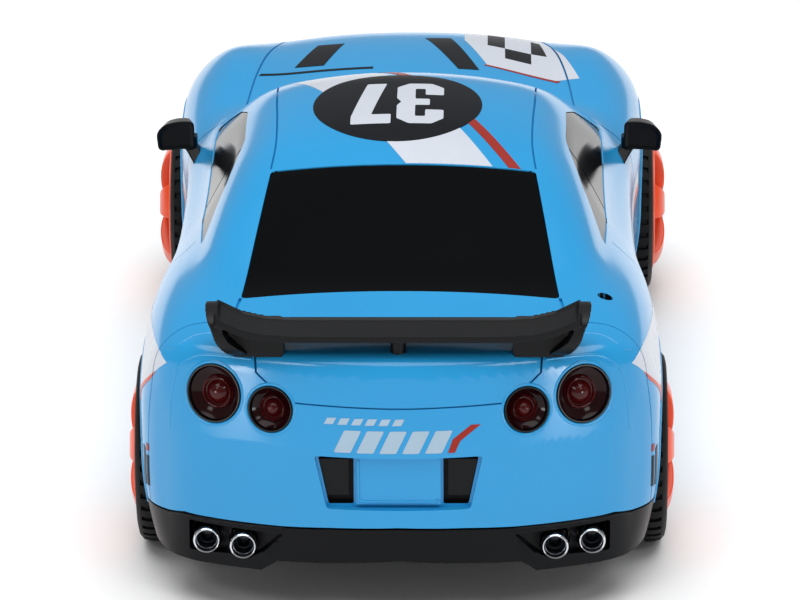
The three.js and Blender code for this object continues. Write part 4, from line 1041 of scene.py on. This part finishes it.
# ---- wheels ----------------------------------------------------------------------------------
TREAD = [(0.4, 11.15), (0.1, 12.0), (0.0, 12.9), (0.25, 13.8), (0.8, 14.45), (1.7, 14.74), (3.3, 14.8),
         (3.4, 14.35), (4.0, 14.35), (4.1, 14.8), (5.2, 14.8), (5.3, 14.35), (5.8, 14.35), (5.9, 14.8),
         (7.0, 14.8), (7.1, 14.35), (7.7, 14.35), (7.8, 14.8), (9.3, 14.74), (10.2, 14.45),
         (10.75, 13.8), (10.97, 12.9), (10.86, 12.6), (10.98, 12.45), (10.98, 12.1), (10.85, 11.95),
         (10.6, 11.15), (0.4, 11.15)]


def tyre(name, out, y, width):
    obj = turned(name, [(u * width / TYRE_W, r) for u, r in TREAD], (out - TYRE_W, y, AXLE_Z), (1, 0, 0), 80)
    alone(obj)
    bpy.ops.object.mode_set(mode="EDIT")

    def shoulder(p, face):
        u = p.x - (out - TYRE_W)
        turn = math.degrees(math.atan2(p.z - AXLE_Z, p.y - y)) % 360
        every_other = round(turn / 4.5 - 0.5) % 2 == 0
        on_edge = 1.0 < u < 3.0 or 8.0 < u < 10.0
        return on_edge and every_other and math.hypot(p.z - AXLE_Z, p.y - y) > 14.4

    pick("FACE", shoulder)
    bpy.ops.mesh.inset(thickness=0.12 * MM)
    swell(-0.4)
    bpy.ops.object.mode_set(mode="OBJECT")
    return obj


SPOKES = 5
SPOKE_FACE = curve([(1.7, 0.5), (2.8, 1.2), (4.6, 1.45), (6.6, 1.4), (8.4, 1.05), (9.7, 0.4),
                    (10.4, -0.4)], 3)
SPOKE_BACK = [(1.7, -3.4), (4.6, -2.5), (7.4, -2.2), (10.4, -2.0)]
SPOKE_WIDTH = [(1.7, 1.5), (3.2, 1.55), (5.6, 1.8), (8.0, 2.35), (10.4, 3.1)]


def rim(name, out, y, bulge):
    """The barrel with its rolled lip, five spokes that bulge out past the tyre, and the hub."""
    edge = out - 0.3
    bore = SHAFT_R + 0.15
    barrel = [(-10.3, 9.9), (-10.3, 11.0), (-0.35, 11.0), (-0.05, 10.9), (0.05, 10.6), (-0.1, 10.35),
              (-0.8, 10.2), (-1.2, 9.9), (-10.3, 9.9)]
    wheel = turned(name, barrel, (edge, y, AXLE_Z), (1, 0, 0), 80)
    hub = [(-6, bore), (-6, 3.2), (0.5, 3.2), (1.0, 3.0), (1.25, 2.75), (1.2, 2.6), (-1.3, 2.6),
           (-1.3, bore), (-6, bore)]
    boolean(wheel, turned("hub", hub, (edge, y, AXLE_Z), (1, 0, 0), 48), "UNION")
    side = SPOKE_BACK + SPOKE_FACE[::-1]
    face = [(edge + u * (bulge if u > 0 else 1), y + r) for r, u in side]
    spoke = prism("z", face, AXLE_Z - 5, AXLE_Z + 5, "spoke")
    plan = [(y + r, AXLE_Z + w) for r, w in SPOKE_WIDTH]
    plan += [(y + r, AXLE_Z - w) for r, w in SPOKE_WIDTH[::-1]]
    boolean(spoke, prism("x", plan, edge - 8, edge + 4), "INTERSECT")
    eased(spoke, 0.5, 3, 40)
    for k in range(SPOKES):
        arm = copy(spoke, "arm")
        alone(arm)
        bpy.ops.object.mode_set(mode="EDIT")
        bpy.ops.mesh.select_all(action="SELECT")
        bpy.ops.transform.rotate(value=-(k * 2 * math.pi / SPOKES + 0.25), orient_axis="X",
                                 center_override=(edge * MM, y * MM, AXLE_Z * MM))
        bpy.ops.object.mode_set(mode="OBJECT")
        boolean(wheel, arm, "UNION")
    bpy.data.objects.remove(spoke)
    return wheel


def wheels():
    for place, out, y, tucked, bulge in (("rear", REAR_OUT, REAR_Y, 0.0, 1.0),
                                         ("front", FRONT_OUT, FRONT_Y, 0.6, 1.3)):
        rubber = tyre("tyre_%s_right_tread" % place, out, y, TYRE_W - tucked)
        metal = rim("rim_%s_right_spoked" % place, out, y, bulge)
        for side in ("right", "left"):
            body_name = "rear_drive" if place == "rear" else "front_wheel_" + side
            t = rubber if side == "right" else other_side(rubber, "tyre_%s_left_tread" % place)
            m = metal if side == "right" else other_side(metal, "rim_%s_left_spoked" % place)
            finish(t, body_name, "tyre_rubber", RUBBER, nodes=["tyre_%s_%s" % (place, side)], smooth=32)
            finish(m, body_name, "rim_orange", ORANGE, nodes=["rim_%s_%s" % (place, side)], smooth=32)


# ---- headlamps' rings ------------------------------------------------------------------------
def headlamp_rings():
    ring = [(-0.6, 0), (-0.6, 1.5), (0.12, 1.5), (0.25, 1.38), (0.18, 1.2), (-0.1, 1.1), (0.1, 0.8),
            (0.25, 0.4), (0.3, 0)]
    for k, (x, z) in enumerate(((22.6, 27.6), (27.3, 29.6))):
        at = Vector(touch([(x, 120, z)], (0, -1, 0))[0])
        way = Vector(slope(np.array([at]))[0])
        right = turned("headlamp_ring_%d_right" % (k + 1), ring, at - way * 0.1, way, 40)
        left = other_side(right, "headlamp_ring_%d_left" % (k + 1))
        for obj in (right, left):
            finish(obj, "car", "headlamp_clear", CHROME, smooth=45)


# ---- everything together ---------------------------------------------------------------------
CAD_LOOKS = {
    "trim_black": BLACK, "diffuser_black": GLOSS_BLACK, "exhaust_chrome": CHROME,
    "tyre_rubber": RUBBER, "rim_orange": ORANGE, "steel": STEEL, "chassis_black": CHASSIS,
    "gear_plastic": NYLON, "motor_can": CAN, "battery_wrap": WRAP, "board_green": BOARD,
    "lamp_red": LAMP, "headlamp_clear": CLEAR, "window_black": WINDOW, "body_paint": PAINT,
}


def dress_solids():
    """The solids that stay showing take the finish of their own slot."""
    slots = {s["node"]: s["material_slot"] for s in frame["record"]["subparts"]}
    for name, obj in frame["nodes"].items():
        if not obj.material_slots:
            obj.data.materials.append(CAD_LOOKS[slots[name]])
        for m in obj.material_slots:
            m.material = CAD_LOOKS[slots[name]]


dress_solids()
livery(body())
wheel_wells()
panes()
beads()
tail_lamps()
diffuser()
exhausts()
rear_wing()
mirrors()
wheels()
headlamp_rings()


# ---- floor and light -------------------------------------------------------------------------
def studio():
    far = 3000
    corners = [(-far, -far, 0), (far, -far, 0), (far, far, 0), (-far, far, 0)]
    floor = closed_mesh("floor", corners, [(0, 1, 2, 3)])
    floor.data.materials.append(FLOOR)
    sky = bpy.data.lights.new("sky_panel", "SUN")
    sky.energy, sky.angle = 3.0, math.radians(70)
    panel = bpy.data.objects.new("sky_panel", sky)
    bpy.context.scene.collection.objects.link(panel)
    for s, side in ((-1, "left"), (1, "right")):
        soft_light("behind_" + side, (s * 0.75, -1.05, 1.05), (0, -0.05, 0.03), (0.34, 0.28), 1.8)
        soft_light("low_" + side, (s * 0.31, -0.37, 0.04), (s * 0.024, -0.09, 0.036), (0.08, 0.07), 0.22)
    world = bpy.data.worlds.new("studio")
    bpy.context.scene.world = world
    world.use_nodes = True
    world.node_tree.nodes["Background"].inputs["Color"].default_value = (1, 1, 1, 1)
    world.node_tree.nodes["Background"].inputs["Strength"].default_value = 0.3
    bpy.context.scene.view_settings.view_transform = "Standard"


studio()
